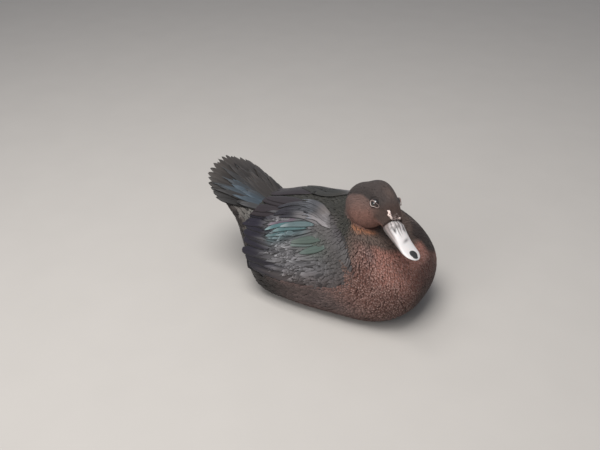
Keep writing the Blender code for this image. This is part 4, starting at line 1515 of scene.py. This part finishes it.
@dataclass(frozen=True)
class Wing:
    """A folded wing: a dark bed, and its groups of feathers from the lowest to the uppermost."""

    side: Side

    def build(self) -> None:
        """Builds wing and shoulder."""
        tag = self.side.tag
        self.bed(f"wing_bed_{tag}", WING_EDGES, (f"wing_{tag}", f"flight_{tag}"))
        self.bed(f"shoulder_bed_{tag}", SCAPULAR_EDGES, (f"scapulars_{tag}",))
        for order, group in enumerate(GROUPS):
            self.group(group, order)
        self.ragged_tips()
        self.blades()
        self.lesser_coverts()
        self.shoulder()

    def bed(self, name: str, edges: tuple[Edge, ...], nodes: tuple[str, ...]) -> None:
        """A closed body under the feathers, so that no gap between them shows the flesh.

        Args:
            name: of the piece.
            edges: its outline on the flesh.
            nodes: the solids that it stands for.
        """
        chart, rows = WingChart(self.side, edges), len(edges) - 1.0
        s = np.linspace(0.1, rows - 0.6, 60)[:, None]
        sweep = circle(60)[None, :]
        t = 0.5 - 0.47 * np.cos(sweep) * np.minimum(1, np.sqrt(np.maximum(0.02, (s / rows) * 6)))
        s, t = np.broadcast_arrays(s, t)
        place, angle = chart.flesh(s, t)
        over = bulge(place, angle) * np.minimum(1, np.abs(np.sin(sweep)) * 4) - 0.1
        points = chart.at(s, t, np.where(np.sin(sweep) > 0, over, -0.6))
        tint = MARKINGS.wing(place, angle).painted()
        piece = tube_mesh(name, points[None], {"tint": tint[None]})
        dress(piece, SkinFinish(name + "_down", dark=0.35).material(), "plumage_gloss", nodes)

    def aimed(self, root: tuple[Array, Array], tip: tuple[Array, Array]) -> tuple[Array, Array]:
        """Aims feathers from their roots at their tips.

        Args:
            root: places and radians.
            tip: places and radians.

        Returns:
            The headings, and the lengths with a little to spare.
        """
        chart = SideChart(self.side)
        run, around, _ = chart.tangents(*root)
        reach = chart.surface(*tip) - chart.surface(*root)
        forth = unit(run)
        down = unit(around - (around * forth).sum(-1, keepdims=True) * forth)
        heading = np.arctan2((reach * down).sum(-1), (reach * forth).sum(-1))
        return heading, np.linalg.norm(reach, axis=-1) * 1.02

    def piece(self, name: str, plot: Plot, shape: VaneShape, seed: int, own: Marks | None = None) -> None:
        """Grows feathers on this side.

        Args:
            name: of the group.
            plot: its feathers.
            shape: their form.
            seed: of their variation.
            own: their marks, where they aren't the wing's.
        """
        grown = grow(SideChart(self.side), plot, shape, bulge, seed)
        rng = np.random.default_rng(seed + 500)
        marks = MARKINGS.wing(grown.a, grown.b * self.side.value)
        spread = 0.28 if shape is RAGGED_VANE else 0.13
        light = rng.normal(1, spread, len(plot.a)).clip(0.5, 1.7)[:, None, None]
        worn_share = rng.uniform(0.2, 1.5, light.shape)
        marks = marks._replace(tint=marks.tint * light[..., None], worn=marks.worn * worn_share)
        finish = RAGGED if shape is RAGGED_VANE else SLEEK
        name, bake = f"{name}_{self.side.tag}", side_unwrap(plot.a, plot.b)
        coat_piece(name, grown, own or marks, bake, finish, "plumage_gloss", (), seed)

    def group(self, group: Group, order: int) -> None:
        """Grows one group, from its upper to its lower feather.

        Args:
            group: the group.
            order: its number, from which its random draws start.
        """
        rng = np.random.default_rng(40 + order)
        share = np.linspace(0, 1, group.count) + rng.normal(0, 0.12 / group.count, group.count)
        root, tip = group.roots.at(share), group.tips.at(share)
        heading, length = self.aimed(root, (tip[0] + rng.normal(0, group.jitter * 2, group.count), tip[1]))
        plot = Plot(
            a=root[0],
            b=root[1],
            heading=heading + rng.normal(0, group.jitter, group.count),
            length=length,
            width=group.width * rng.normal(1, 0.08, group.count),
            base=group.base + 0.05 * rng.normal(0, 1, group.count),
            lift=group.lift,
            bend=rng.normal(0, group.jitter, group.count),
            roll=group.roll,
        )
        own = None
        if group.own:
            tint = np.array(group.own) * rng.normal(1, 0.12, (group.count, 1))
            own = Marks(tint, tint * 1.8, np.full(group.count, 0.3), np.full(group.count, OWN_GLOSS))
        self.piece(group.name, plot, group.shape, 60 + order, own)

    def ragged_tips(self) -> None:
        """Scatters narrow worn feathers over the coverts' tips, each a little astray."""
        rng = np.random.default_rng(64)
        count = 95
        share = rng.uniform(0, 1, count)
        line = Line(13.5, 31, 12.7, 82)
        place, deg = line.at(share)
        place = place + rng.normal(-0.1, 0.42, count)
        length = rng.uniform(9, 16, count)
        plot = Plot(
            a=place,
            b=deg + rng.normal(0, 0.02, count),
            heading=0.12 + 0.25 * share + rng.normal(0, 0.22, count),
            length=length,
            width=length * rng.uniform(0.28, 0.42, count),
            base=1.3,
            lift=rng.uniform(0.9, 1.9, count),
            bend=rng.normal(0.1, 0.2, count),
            roll=rng.normal(0, 0.3, count),
        )
        self.piece("ragged_coverts", plot, RAGGED_VANE, 66)

    def blades(self) -> None:
        """Grows the feathers that stand out in lilac, teal and green."""
        root = np.array([blade.root for blade in BLADES])
        tip = np.array([blade.tip for blade in BLADES])
        place, angle = root[:, 0], np.radians(root[:, 1])
        heading, length = self.aimed((place, angle), (tip[:, 0], np.radians(tip[:, 1])))
        plot = Plot(
            a=place,
            b=angle,
            heading=heading - 0.18,
            length=length,
            width=np.array([blade.width for blade in BLADES]),
            base=np.array([blade.over for blade in BLADES]),
            lift=1.6,
            bend=0.36,
            roll=0.4,
        )
        own = Marks(
            tint=np.array([blade.tint for blade in BLADES]),
            edge=np.array([blade.edge for blade in BLADES]),
            worn=np.array([blade.worn for blade in BLADES]),
            gloss=np.full(len(BLADES), OWN_GLOSS),
        )
        self.piece("bright_coverts", plot, BLADE_VANE, 71, own)

    def lesser_coverts(self) -> None:
        """Scatters the small feathers over the wing's front."""
        sign = self.side.value

        def covers(place: Array, deg: Array) -> Array:
            """True on the front of the wing."""
            rear = np.interp(deg, [24, 45, 60, 75, 88], [10.8, 11.2, 11.5, 12.2, 12.6])
            front = np.interp(deg, [55, 68, 78, 88], [9.2, 9.5, 10.0, 10.6])
            upper = np.interp(place, [9.0, 9.8, 10.6, 11.6], [44, 24, 28, 36])
            return (deg > upper) & (deg < 88) & (place < rear) & (place > front)

        place, angle = scattered(9.2, 12.4, lambda a, deg: 1.9 + 0.55 * (a - 9.2), covers, 75)
        mine = angle * sign > 0
        place, angle = place[mine], np.abs(angle[mine])
        rng = np.random.default_rng(76)
        length = (7.5 + 2.0 * (place - 9.2)) * rng.normal(1, 0.1, len(place)).clip(0.75, 1.3)
        plot = Plot(
            a=place,
            b=angle,
            heading=0.40 * smooth(place, 9.4, 11.0) + rng.normal(0, 0.12, len(place)),
            length=length,
            width=length * 0.56,
            base=-0.4 + 1.1 * smooth(place, 9.3, 10.4),
            lift=1.1,
            bend=rng.normal(0, 0.12, len(place)),
            roll=rng.normal(0.05, 0.10, len(place)),
        )
        self.piece("lesser_coverts", plot, BROAD, 77)

    def shoulder(self) -> None:
        """Grows the shoulder's long arched feathers, the outermost over the wing's upper edge."""
        chart = WingChart(self.side, SCAPULAR_EDGES)
        rng = np.random.default_rng(90)

        def ground(a: Array, b: Array) -> Array:
            """The folded wing under the shoulder, higher towards the shoulder's lower edge."""
            return bulge(*chart.flesh(a, b)) + 0.3 * smooth(b, 0, 0.3)

        for name, count, start, end, width, shape in (
            ("long_scapulars", 12, 0.8, 4.0, 8.0, LONG_VANE),
            ("short_scapulars", 11, 0.0, 2.2, 7.5, RAGGED_VANE),
        ):
            share = np.linspace(0.04, 0.97, count)
            s = start + rng.normal(0, 0.08, count)
            tip = end - 0.25 * share + rng.normal(0, 0.08, count)
            reach = chart.surface(tip, share) - chart.surface(s, share)
            plot = Plot(
                a=s,
                b=share,
                heading=rng.normal(0, 0.05, count) - 0.38 * share,
                length=np.linalg.norm(reach, axis=-1) * rng.normal(1.06, 0.05, count),
                width=width,
                base=1.0,
                lift=1.7,
                bend=rng.normal(0, 0.06, count) + 0.75 * share,
                roll=0.5,
            )
            grown = grow(chart, plot, shape, ground, 91)
            marks = MARKINGS.shoulder(*chart.flesh(grown.a, grown.b))
            light = rng.normal(1, 0.22, count).clip(0.6, 1.5)[:, None, None, None]
            worn_share = rng.uniform(0.5, 1.6, (count, 1, 1))
            marks = marks._replace(tint=marks.tint * light, worn=marks.worn * worn_share)
            place, angle = chart.flesh(s, share)
            bake = side_unwrap(place, np.abs(angle))
            coat_piece(f"{name}_{self.side.tag}", grown, marks, bake, SLEEK, "plumage_gloss", (), 92)


# -------- tail


QUILL_VANE = VaneShape(
    rows=22, columns=9, thickness=0.4, camber=0.4, broad_at=0.5, root=0.35, point=2.3, fray=0.035
)


def flat_ground(a: Array, b: Array) -> Array:
    """The tail's feathers lie on its plane: no height anywhere."""
    return np.zeros_like(a)


@dataclass(frozen=True)
class TailFan:
    """The tail: long blunt quills, the middle pair uppermost."""

    quills: int = 18
    row: int = 17
    width: float = 15.0
    tint: Colour = (0.032, 0.027, 0.024)
    pale: Colour = (0.080, 0.068, 0.058)
    # colour of the bluish sheen painted on the coverts
    blue: Colour = (0.042, 0.057, 0.070)

    def build(self) -> None:
        """Builds the quills, fanned from the root."""
        spread = np.linspace(-0.94, 0.94, self.quills)
        length = TAIL_LENGTH * (1 - (1 - TAIL_OUTER_LENGTH) * np.abs(spread) ** 2.2)
        rng = np.random.default_rng(7)
        plot = Plot(
            a=np.full(self.quills, 2.0),
            b=TAIL_ROOT_HALF_WIDTH * spread,
            heading=np.radians(TAIL_SPREAD_DEG / 2) * spread + rng.normal(0, 0.018, self.quills),
            length=length - 2 + rng.normal(0, 1.3, self.quills),
            width=self.width,
            base=0.2 + 2.2 * (1 - np.abs(spread)),
            lift=0.3,
            roll=-0.35 * np.sign(spread),
        )
        grown = grow(TAIL, plot, QUILL_VANE, flat_ground, 8)
        light = 1 - 0.7 * smooth(spread, -0.35, -0.8)
        tint = plain(self.tint, (self.quills,)) * (rng.normal(1, 0.14, self.quills) * light)[:, None]
        pale = np.array(self.pale) * light[:, None]
        marks = Marks(tint, pale, np.full(self.quills, 0.45), np.full(self.quills, 0.5))
        bake = np.stack([np.linspace(0.05, 0.95, self.quills), np.full(self.quills, 0.5)], -1)
        coat_piece("tail_quills", grown, marks, bake, SLEEK, "plumage_dark", ("tail",), 9)
        self.coverts("upper_tail_coverts", 1.0, 3.0, 60.0, 31)
        self.coverts("under_tail_coverts", -1.0, -2.2, 50.0, 32)

    def coverts(self, name: str, above: float, base: float, reach: float, seed: int) -> None:
        """Two rows of coverts over or under the quills, with a bluish sheen painted on the right.

        Args:
            name: of the piece.
            above: 1 over the quills, -1 under them.
            base: how far the middle ones stand off the tail's plane, in millimetres.
            reach: length of the middle ones, in millimetres.
            seed: of their variation.
        """
        rng = np.random.default_rng(seed)
        row = self.row
        count = 2 * row
        across = np.concatenate([np.linspace(-1, 1, row), np.linspace(-0.94, 0.94, row)])
        start = np.where(np.arange(count) < row, 8.0, -12.0) + rng.normal(0, 3.0, count)
        plot = Plot(
            a=start,
            b=(TAIL_ROOT_HALF_WIDTH - 2) * across,
            heading=np.radians(28) * across + rng.normal(0, 0.09, count),
            length=reach * (1 - 0.22 * across**2) * rng.normal(1, 0.12, count),
            width=10.0,
            base=base * (1.1 - 0.5 * np.abs(across)),
            lift=0.5 * above,
            bend=rng.normal(0, 0.12, count),
            roll=-0.3 * np.sign(across) * above,
        )
        grown = grow(TAIL, plot, RAGGED_VANE, flat_ground, seed)
        # painted sheen: bluish on the coverts right of the middle
        blue = 1.1 * bell(across, -0.48, 0.26)
        tint = blend(plain(self.tint, (count,)), blue, self.blue) * rng.normal(1, 0.18, (count, 1))
        marks = Marks(tint, tint * 1.8 + 0.02, rng.uniform(0.1, 0.6, count), np.full(count, 0.3))
        bake = np.stack([0.5 + 0.45 * across, 0.5 + start / 60.0], -1)
        coat_piece(name, grown, marks, bake, RAGGED, "plumage_dark", (), seed)


# -------- bill, eyes and bare skin


def horn_layers(tint: Array, spots: Colour, share: Array) -> dict[str, Array]:
    """The two colour layers of one tube of horn or bare skin.

    Args:
        tint: its colours, rings x points x 3.
        spots: colour of its mottling.
        share: how mottled it is, rings x points.

    Returns:
        The layers, as tube_mesh takes them.
    """
    opaque = np.concatenate([tint, np.zeros((*share.shape, 1))], -1)
    mottling = np.concatenate([np.broadcast_to(np.array(spots), (*share.shape, 3)), share[..., None]], -1)
    return {"tint": opaque[None], "edge": mottling[None]}


@dataclass(frozen=True)
class Bill:
    """The bill: pale horn, greyer and wrinkled at its base, with slit nostrils and a slate nail."""

    horn: Colour = (0.60, 0.565, 0.545)
    base: Colour = (0.34, 0.30, 0.285)
    grey: Colour = (0.085, 0.072, 0.068)
    nail: Colour = (0.022, 0.021, 0.021)
    # colour of the painted shade on the bill's side walls
    side_grey: Colour = (0.20, 0.155, 0.14)
    # colour of the painted shade in the nostrils
    dark: Colour = (0.02, 0.016, 0.015)
    nostril: tuple[float, float] = (0.26, 1.02)
    end: float = 0.9985
    palate: int = 20

    @staticmethod
    def outline(share: Array) -> tuple[Array, Array, Array, Array]:
        """The bill's outline in the head's own axes.

        Args:
            share: how far along the bill, from 0 at its root to 1 at its tip.

        Returns:
            Half width, and the heights of ridge, mouth line and jaw.
        """
        rest = np.minimum(1, (1 - share) / 0.26)
        round_end = np.sqrt(np.maximum(0, 1 - (1 - rest) ** 2))
        width = BILL_HALF_WIDTH * (1.12 - 0.17 * smooth(share, 0.10, 0.55)) * round_end
        ridge = 5.5 - 12.5 * np.sin(share * math.pi / 2) ** 0.8
        mouth = -9.2 - 1.2 * np.sin(share * math.pi)
        top = mouth + (ridge - mouth) * (0.25 + 0.75 * round_end)
        tucked = 0.80 + 0.20 * smooth(share, 0.0, 0.13)
        return width * tucked, mouth + (top - mouth) * tucked, mouth, mouth - 3.4 + 0.8 * share

    def upper_point(self, share: Array, sweep: Array, out: Array | float = 0.0) -> Array:
        """Points of the upper bill's outer side.

        Args:
            share: how far along the bill.
            sweep: in radians, from the left edge over the ridge to the right one.
            out: how far they stand out, in millimetres.

        Returns:
            The points in the head's own axes.
        """
        width, top, mouth, _ = self.outline(share)
        side, rise = np.cos(sweep), np.sin(sweep) ** 0.85
        height = rise * (top - mouth)
        forward = BILL_ROOT + (share - 0.06) * BILL_LENGTH + 0.5 * (1 - share) ** 2 * height
        lateral = (width + out) * side + BILL_LEAN * share
        return np.stack([forward, lateral, mouth + height + out * rise], -1)

    def pit(self, share: Array, sweep: Array) -> Array:
        """How deep in a nostril a point lies, from 0 to 1, on either side."""
        place, turn = self.nostril
        near = np.minimum(np.abs(sweep - turn), np.abs(math.pi - sweep - turn))
        slant = (share - place) * 14.0
        return np.exp(-(slant**2) * 1.2 - ((near + 0.06 * slant) / 0.14) ** 2)

    @staticmethod
    def streaks(share: Array, sweep: Array) -> Array:
        """How dark the lengthwise streaks at the bill's base are, from 0 to 1. They are uneven."""
        line = np.sin(17 * sweep + 1.3) + 0.6 * np.sin(29 * sweep + 0.4) + 0.4 * np.sin(47 * sweep + 2.0)
        length = 0.30 + 0.13 * np.sin(7 * sweep + 2.0)
        return smooth(line, 0.0, 0.9) * smooth(share, length + 0.08, length - 0.08)

    def build(self) -> None:
        """Builds upper bill, lower bill and nail."""
        horn = HornFinish("bill_horn", streaks=0.75).material()
        self.upper(horn)
        self.lower(horn)
        self.tip(HornFinish("nail_horn", roughness=0.5, relief=0.15).material())

    def upper(self, horn: bpy.types.Material) -> None:
        """The upper bill: its outer side from edge to edge, closed by a palate that is a little arched."""
        share = 1 - (1 - np.linspace(0, 1, 90)) ** 1.25
        share = np.minimum(share, self.end)[:, None]
        sweep = np.linspace(0, math.pi, 72)[None, :]
        share_u, sweep_u = np.broadcast_arrays(share, sweep)
        pit = self.pit(share_u, sweep_u)
        wrinkle = np.sin(share_u * 150) * 0.10 * smooth(share_u, 0.22, 0.06) * np.sin(sweep_u)
        outer = self.upper_point(share_u, sweep_u, wrinkle - 0.9 * pit)
        width, top, mouth, _ = self.outline(share)
        across = np.linspace(-0.93, 0.93, self.palate)[None, :]
        forward = BILL_ROOT + (share - 0.06) * BILL_LENGTH
        lateral = width * across + BILL_LEAN * share
        height = mouth + (1 - across**2) * 0.12 * (top - mouth)
        palate = np.stack(np.broadcast_arrays(forward, lateral, height), -1)
        points = on_head(np.concatenate([outer, palate], axis=1))
        under = plain(self.base, (len(share), self.palate))
        tint = np.concatenate([self.colours(share_u, sweep_u, pit), under], axis=1)
        streaked = smooth(share_u, 0.55, 0.20) * smooth(share_u, 0.0, 0.08)
        mottle = 0.42 * streaked + 0.12 + 0.3 * smooth(share_u, 0.84, 0.95) * np.sin(sweep_u) ** 2
        spots = np.concatenate([mottle, np.full((len(share), self.palate), 0.2)], axis=1)
        layers = horn_layers(tint, self.grey, spots)
        ring = np.concatenate([sweep_u, np.broadcast_to(across, (len(share), self.palate))], axis=1)
        layers["Grain"] = np.stack([ring, np.broadcast_to(share, ring.shape)], -1)[None]
        dress(tube_mesh("upper_bill", points[None], layers), horn, "bill_horn", ("bill_upper",))

    def colours(self, share: Array, sweep: Array, pit: Array) -> Array:
        """Colours of the upper bill's outer side.

        Args:
            share: how far along the bill.
            sweep: in radians, from the left edge over the ridge to the right one.
            pit: how deep in a nostril, from 0 to 1.

        Returns:
            Horn, darker at the base, in the streaks and in one smudge, with painted shade on the side walls,
            along the near edge and in the nostrils.
        """
        colour = plain(self.horn, share.shape)
        colour = blend(colour, 0.6 * smooth(share, 0.34, 0.08), self.base)
        colour = blend(colour, 0.75 * self.streaks(share, sweep), self.grey)
        # painted shade on the near side wall of the upper bill, reaching towards the tip
        colour = blend(colour, 0.8 * smooth(sweep, 2.1, 2.7) * smooth(share, 0.85, 0.3), self.side_grey)
        # painted shade: a narrow dark line along the near edge, where the upper bill meets the lower
        colour = blend(colour, 0.7 * smooth(sweep, 2.80, 3.0) * smooth(share, 0.98, 0.6), self.grey)
        # painted shade on the far side wall, near the base
        colour = blend(colour, 0.8 * smooth(sweep, 0.75, 0.35) * smooth(share, 0.42, 0.16), self.side_grey)
        off_ridge = sweep - 1.5
        smudge = np.exp(-(((share - 0.53 - 0.10 * off_ridge) / 0.035) ** 2) - (off_ridge / 0.42) ** 2)
        colour = blend(colour, 0.75 * smudge, self.grey)
        # painted shade in the nostril pits
        return blend(colour, pit, self.dark)

    def lower(self, horn: bpy.types.Material) -> None:
        """The lower bill: a shallow trough under the upper one."""
        share = np.linspace(0, 0.997, 60)[:, None]
        width, _, mouth, jaw = self.outline(share)
        turn = circle(48)[None, :]
        rim = mouth - 0.35
        middle, half = (jaw + rim) / 2, (rim - jaw) / 2
        side = np.sign(np.cos(turn)) * np.abs(np.cos(turn)) ** 0.7 * width * 0.86
        height = middle + np.sign(np.sin(turn)) * np.abs(np.sin(turn)) ** 0.8 * half
        forward = BILL_ROOT + (share * 0.96 - 0.08) * BILL_LENGTH
        points = on_head(np.stack(np.broadcast_arrays(forward, side + BILL_LEAN * share, height), -1))
        share_w, _ = np.broadcast_arrays(share, turn)
        colour = blend(plain(self.horn, share_w.shape) * 0.82, smooth(share_w, 0.2, 0.0), self.base)
        layers = horn_layers(colour, self.grey, np.full(share_w.shape, 0.2))
        dress(tube_mesh("lower_bill", points[None], layers), horn, "bill_horn", ("bill_lower",))

    def tip(self, horn: bpy.types.Material) -> None:
        """The nail: a raised oval at the bill's end, with a pale rim."""
        rings = 16
        outwards = np.linspace(0.03, 1, rings)
        far = np.concatenate([outwards, np.linspace(1, 0.03, rings)])[:, None]
        turn = circle(48)[None, :]
        share = np.minimum(0.882 + 0.108 * far * np.cos(turn), self.end)
        sweep = math.pi / 2 + 0.56 * far * np.sin(turn) * (1 + 1.2 * np.maximum(0, share - 0.93) / 0.07)
        sweep = np.clip(sweep, 0.1, math.pi - 0.1)
        over = (np.arange(2 * rings) < rings)[:, None]
        out = np.where(over, 0.55 * np.sqrt(np.maximum(0, 1 - far**4)), -0.5)
        points = on_head(self.upper_point(share, sweep, out))
        far_w, _ = np.broadcast_arrays(far, turn)
        colour = blend(plain(self.nail, far_w.shape), smooth(far_w, 0.82, 1.02), self.horn)
        layers = horn_layers(colour, self.grey, np.full(far_w.shape, 0.15))
        dress(tube_mesh("nail", points[None], layers), horn, "bill_nail", ("bill_nail",))


@dataclass(frozen=True)
class Eye:
    """An eye: ball, lid ring drawn out to a corner in front, and the bare skin round it."""

    side: Side
    across: float = 3.9
    lid: float = 0.52
    pale: Colour = (0.36, 0.29, 0.26)
    warm: Colour = (0.13, 0.08, 0.068)
    brown: Colour = (0.06, 0.04, 0.035)

    def build(self) -> None:
        """Builds ball and lids."""
        self.ball()
        self.lids()

    def ball(self) -> None:
        """The ball, with its pole at the pupil and a faint bulge over the iris."""
        away = np.linspace(0.03, math.pi - 0.03, 40)[:, None]
        turn = circle(48)[None, :]
        sign = self.side.value
        axis = unit(np.array([0.22, sign, 0.10]))
        first = unit(np.cross(axis, np.array([0.0, 0.0, 1.0])))
        second = np.cross(axis, first)
        radius = EYE_RADIUS + 0.25 * np.exp(-((away / 0.55) ** 2))
        ray = (
            np.cos(away)[..., None] * axis
            + (np.sin(away) * np.cos(turn))[..., None] * first
            + (np.sin(away) * np.sin(turn))[..., None] * second
        )
        points = on_head(eye_middle(sign) + ray * radius[..., None])
        away_w, _ = np.broadcast_arrays(away, turn)
        tint = np.repeat(away_w[..., None] / math.pi, 4, axis=-1)
        piece = tube_mesh(f"eyeball_{self.side.tag}", points[None], {"tint": tint[None]})
        dress(piece, EyeFinish(f"eye_{self.side.tag}").material(), "eye", (f"eye_{self.side.tag}",))

    def lids(self) -> None:
        """A raised ring over the ball's edge: its profile runs from the feathers over a crest to the ball."""
        sign = self.side.value
        turn = circle(96)[:, None]
        swing = circle(14)[None, :]
        corner = np.exp(-((np.angle(np.exp(1j * (turn - 0.25))) / 0.42) ** 2))
        heel = np.exp(-((np.angle(np.exp(1j * (turn - math.pi - 0.15))) / 0.45) ** 2))
        opening = self.across * (1 + 1.35 * corner + 0.22 * heel - 0.10 * np.sin(turn) ** 2)
        thick = self.lid * (1 - 0.15 * corner)
        axis = unit(np.array([0.10, sign, 0.20]))
        ahead = unit(np.cross(np.array([0.0, 0.0, 1.0]), axis)) * -sign
        up = np.cross(axis, ahead) * -sign
        reach = opening + thick * np.cos(swing)
        direction = np.cos(turn)[..., None] * ahead + np.sin(turn)[..., None] * up
        ball = EYE_RADIUS + 0.35
        wide = np.minimum(opening, 4.2)
        sphere = np.sqrt(ball**2 - wide**2) - 0.36 * (opening - wide)
        stand = sphere + 0.35 + thick * 0.9 * np.sin(swing)
        points = on_head(eye_middle(sign) + direction * reach[..., None] + axis * stand[..., None])
        inner = smooth(np.cos(swing) + 0 * turn, -0.2, 0.8)
        colour = blend(plain(self.warm, inner.shape), 1 - inner, self.pale)
        layers = horn_layers(colour, self.brown, np.full(inner.shape, 0.18))
        piece = tube_mesh(f"lids_{self.side.tag}", points[None], layers, loop=True)
        finish = HornFinish(f"lid_skin_{self.side.tag}", roughness=0.45, relief=0.5)
        dress(piece, finish.material(), "bill_horn")


@dataclass(frozen=True)
class Caruncles:
    """Warty bare skin over the bill's root, in front of each eye."""

    pale: Colour = (0.70, 0.56, 0.50)
    grey: Colour = (0.24, 0.19, 0.175)
    brown: Colour = (0.12, 0.085, 0.075)

    def build(self) -> None:
        """Builds a pale ridge in front of the right eye, a knob before the left one, and pimples between."""
        horn = HornFinish("caruncle_skin", roughness=0.5, relief=0.6).material()
        self.ridges(horn)
        self.pimples(horn)

    def ridges(self, horn: bpy.types.Material) -> None:
        """Two lumpy ridges, thinner towards their far ends, with waves along and round them as lumps."""
        start, end = np.array([(1.28, -34.0), (0.34, 19.0)]), np.array([(0.16, -27.0), (0.02, 21.0)])
        size = np.array([2.15, 1.9])[:, None, None]
        run = np.linspace(0.01, 0.99, 48)[None, :, None]
        turn = circle(32)[None, None, :]
        path = start[:, None, :] + (end - start)[:, None, :] * run
        wander = 2.2 * np.sin(run[..., 0] * 9.0)
        place, angle = path[..., 0], np.radians(path[..., 1] + wander)
        centre = BODY.at(place, angle, 0.25)
        _, around, normal = BODY.tangents(place, angle)
        ends = np.sqrt(np.sin(math.pi * run) ** 0.9)
        lumps = 0.20 * np.sin(run * 15.0 + 1.0) * np.cos(turn * 2 + 0.7)
        lumps = lumps + 0.10 * np.sin(run * 27.0 + turn * 3)
        radius = size * ends * (1 - 0.35 * run) * (1 + lumps)
        side = unit(around)[:, :, None, :] * (np.cos(turn) * radius)[..., None]
        rise = normal[:, :, None, :] * (np.sin(turn) * radius * 0.8)[..., None]
        points = centre[:, :, None, :] + side + rise
        colour = blend(plain(self.pale, radius.shape), smooth(lumps, -0.02, -0.24), self.grey)
        self.show("caruncles", points, colour, 0.28, horn)

    def pimples(self, horn: bpy.types.Material) -> None:
        """Small brown beads over the bill's root."""
        rng = np.random.default_rng(5)
        count = 48
        place, deg = rng.normal(0.32, 0.24, count), rng.normal(-4, 15, count)
        size = rng.uniform(0.45, 1.05, count)
        centre = BODY.at(place, np.radians(deg), -0.2 * size)
        away = np.linspace(0.08, math.pi - 0.08, 8)[None, :, None, None]
        turn = circle(10)[None, None, :, None]
        ray = np.concatenate(
            np.broadcast_arrays(np.sin(away) * np.cos(turn), np.sin(away) * np.sin(turn), np.cos(away)), -1
        )
        points = centre[:, None, None, :] + ray * size[:, None, None, None]
        own = np.array(self.brown) * rng.uniform(0.7, 1.5, (count, 1))
        self.show("pimples", points, np.broadcast_to(own[:, None, None, :], points.shape), 0.3, horn)

    def show(self, name: str, points: Array, colour: Array, mottled: float, horn: bpy.types.Material) -> None:
        """Makes one piece of bare skin from closed tubes.

        Args:
            name: of the piece.
            points: tubes x rings x points of a ring x 3.
            colour: at each point.
            mottled: how grey the mottling is.
            horn: the material.
        """
        shape = points.shape[:3]
        edge = np.broadcast_to(np.array((*self.grey, mottled)), (*shape, 4))
        tint = np.concatenate([colour, np.zeros((*shape, 1))], -1)
        dress(tube_mesh(name, points, {"tint": tint, "edge": edge}), horn, "bill_horn")


# -------- legs, studio and the whole


def dress_legs(nodes: dict[str, bpy.types.Object]) -> None:
    """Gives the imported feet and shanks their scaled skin."""
    scales = ScaleFinish("foot_scales").material()
    for side in Side:
        for kind in ("foot", "shank"):
            piece = nodes[f"{kind}_{side.tag}"]
            piece.data.materials.clear()
            piece.data.materials.append(scales)
            log.info("%s keeps its solid", piece.name)


@dataclass(frozen=True)
class Studio:
    """Plain floor, soft light and the camera."""

    lens: float = 42.0
    sensor: float = 36.0
    stand: tuple[float, float, float] = (374.0, -667.0, 580.0)
    heading: tuple[float, float] = (-0.515, 0.857)
    pitch_deg: float = -33.0

    def build(self) -> None:
        """Builds the studio."""
        self.floor()
        self.lights()
        self.camera()

    def floor(self) -> None:
        """A wide plain floor under the duck."""
        mesh = bpy.data.meshes.new("floor")
        low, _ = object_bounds()
        half, level = 6.0, low[2]
        corners = [(-half, -half, level), (half, -half, level), (half, half, level), (-half, half, level)]
        mesh.from_pydata(corners, [], [(0, 1, 2, 3)])
        floor = new_object("floor", mesh)
        mesh.materials.append(StageFinish("floor_paint").material())
        floor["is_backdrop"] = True

    def lamp(self, name: str, place: tuple[float, float, float], size: float, watts: float) -> None:
        """A soft square lamp that looks at the duck.

        Args:
            name: of the lamp.
            place: in metres.
            size: of its side, in metres.
            watts: its power.
        """
        light = bpy.data.lights.new(name, "AREA")
        light.size, light.energy = size, watts
        lamp = new_object(name, light)
        lamp.location = place
        lamp.rotation_euler = (Vector((0, 0, 0.08)) - lamp.location).to_track_quat("-Z", "Y").to_euler()

    def lights(self) -> None:
        """Soft light from above, a weak fill and a pale sky."""
        self.lamp("key_lamp", (-0.05, -0.40, 1.5), 0.9, 24.0)
        self.lamp("fill_lamp", (-0.25, -1.5, 0.95), 1.0, 11.0)
        world = bpy.data.worlds.new("sky")
        world.use_nodes = True
        world.node_tree.nodes["Background"].inputs["Color"].default_value = (0.86, 0.90, 1.0, 1.0)
        world.node_tree.nodes["Background"].inputs["Strength"].default_value = 0.35
        bpy.context.scene.world = world
        bpy.context.scene.view_settings.view_transform = "Standard"

    def camera(self) -> None:
        """The camera, at the duck's right front and above it."""
        data = bpy.data.cameras.new("camera")
        data.lens, data.sensor_width = self.lens, self.sensor
        camera = new_object("camera", data)
        camera.location = Vector(scene_metres(np.array(self.stand)))
        pitch = math.radians(self.pitch_deg)
        level = math.cos(pitch)
        way = Vector((self.heading[0] * level, self.heading[1] * level, math.sin(pitch)))
        camera.rotation_euler = way.to_track_quat("-Z", "Y").to_euler()
        bpy.context.scene.camera = camera


def main() -> None:
    """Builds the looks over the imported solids."""
    logging.basicConfig(level=logging.INFO, format="%(name)s %(message)s")
    for leftover in list(bpy.data.objects):
        bpy.data.objects.remove(leftover)
    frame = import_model()
    settle_on_solids()
    Skin().build()
    for tract in TRACTS:
        tract.build()
    for side in Side:
        Wing(side).build()
        Eye(side).build()
    TailFan().build()
    Bill().build()
    Caruncles().build()
    dress_legs(frame["nodes"])
    Studio().build()


if __name__ == "__main__":
    main()
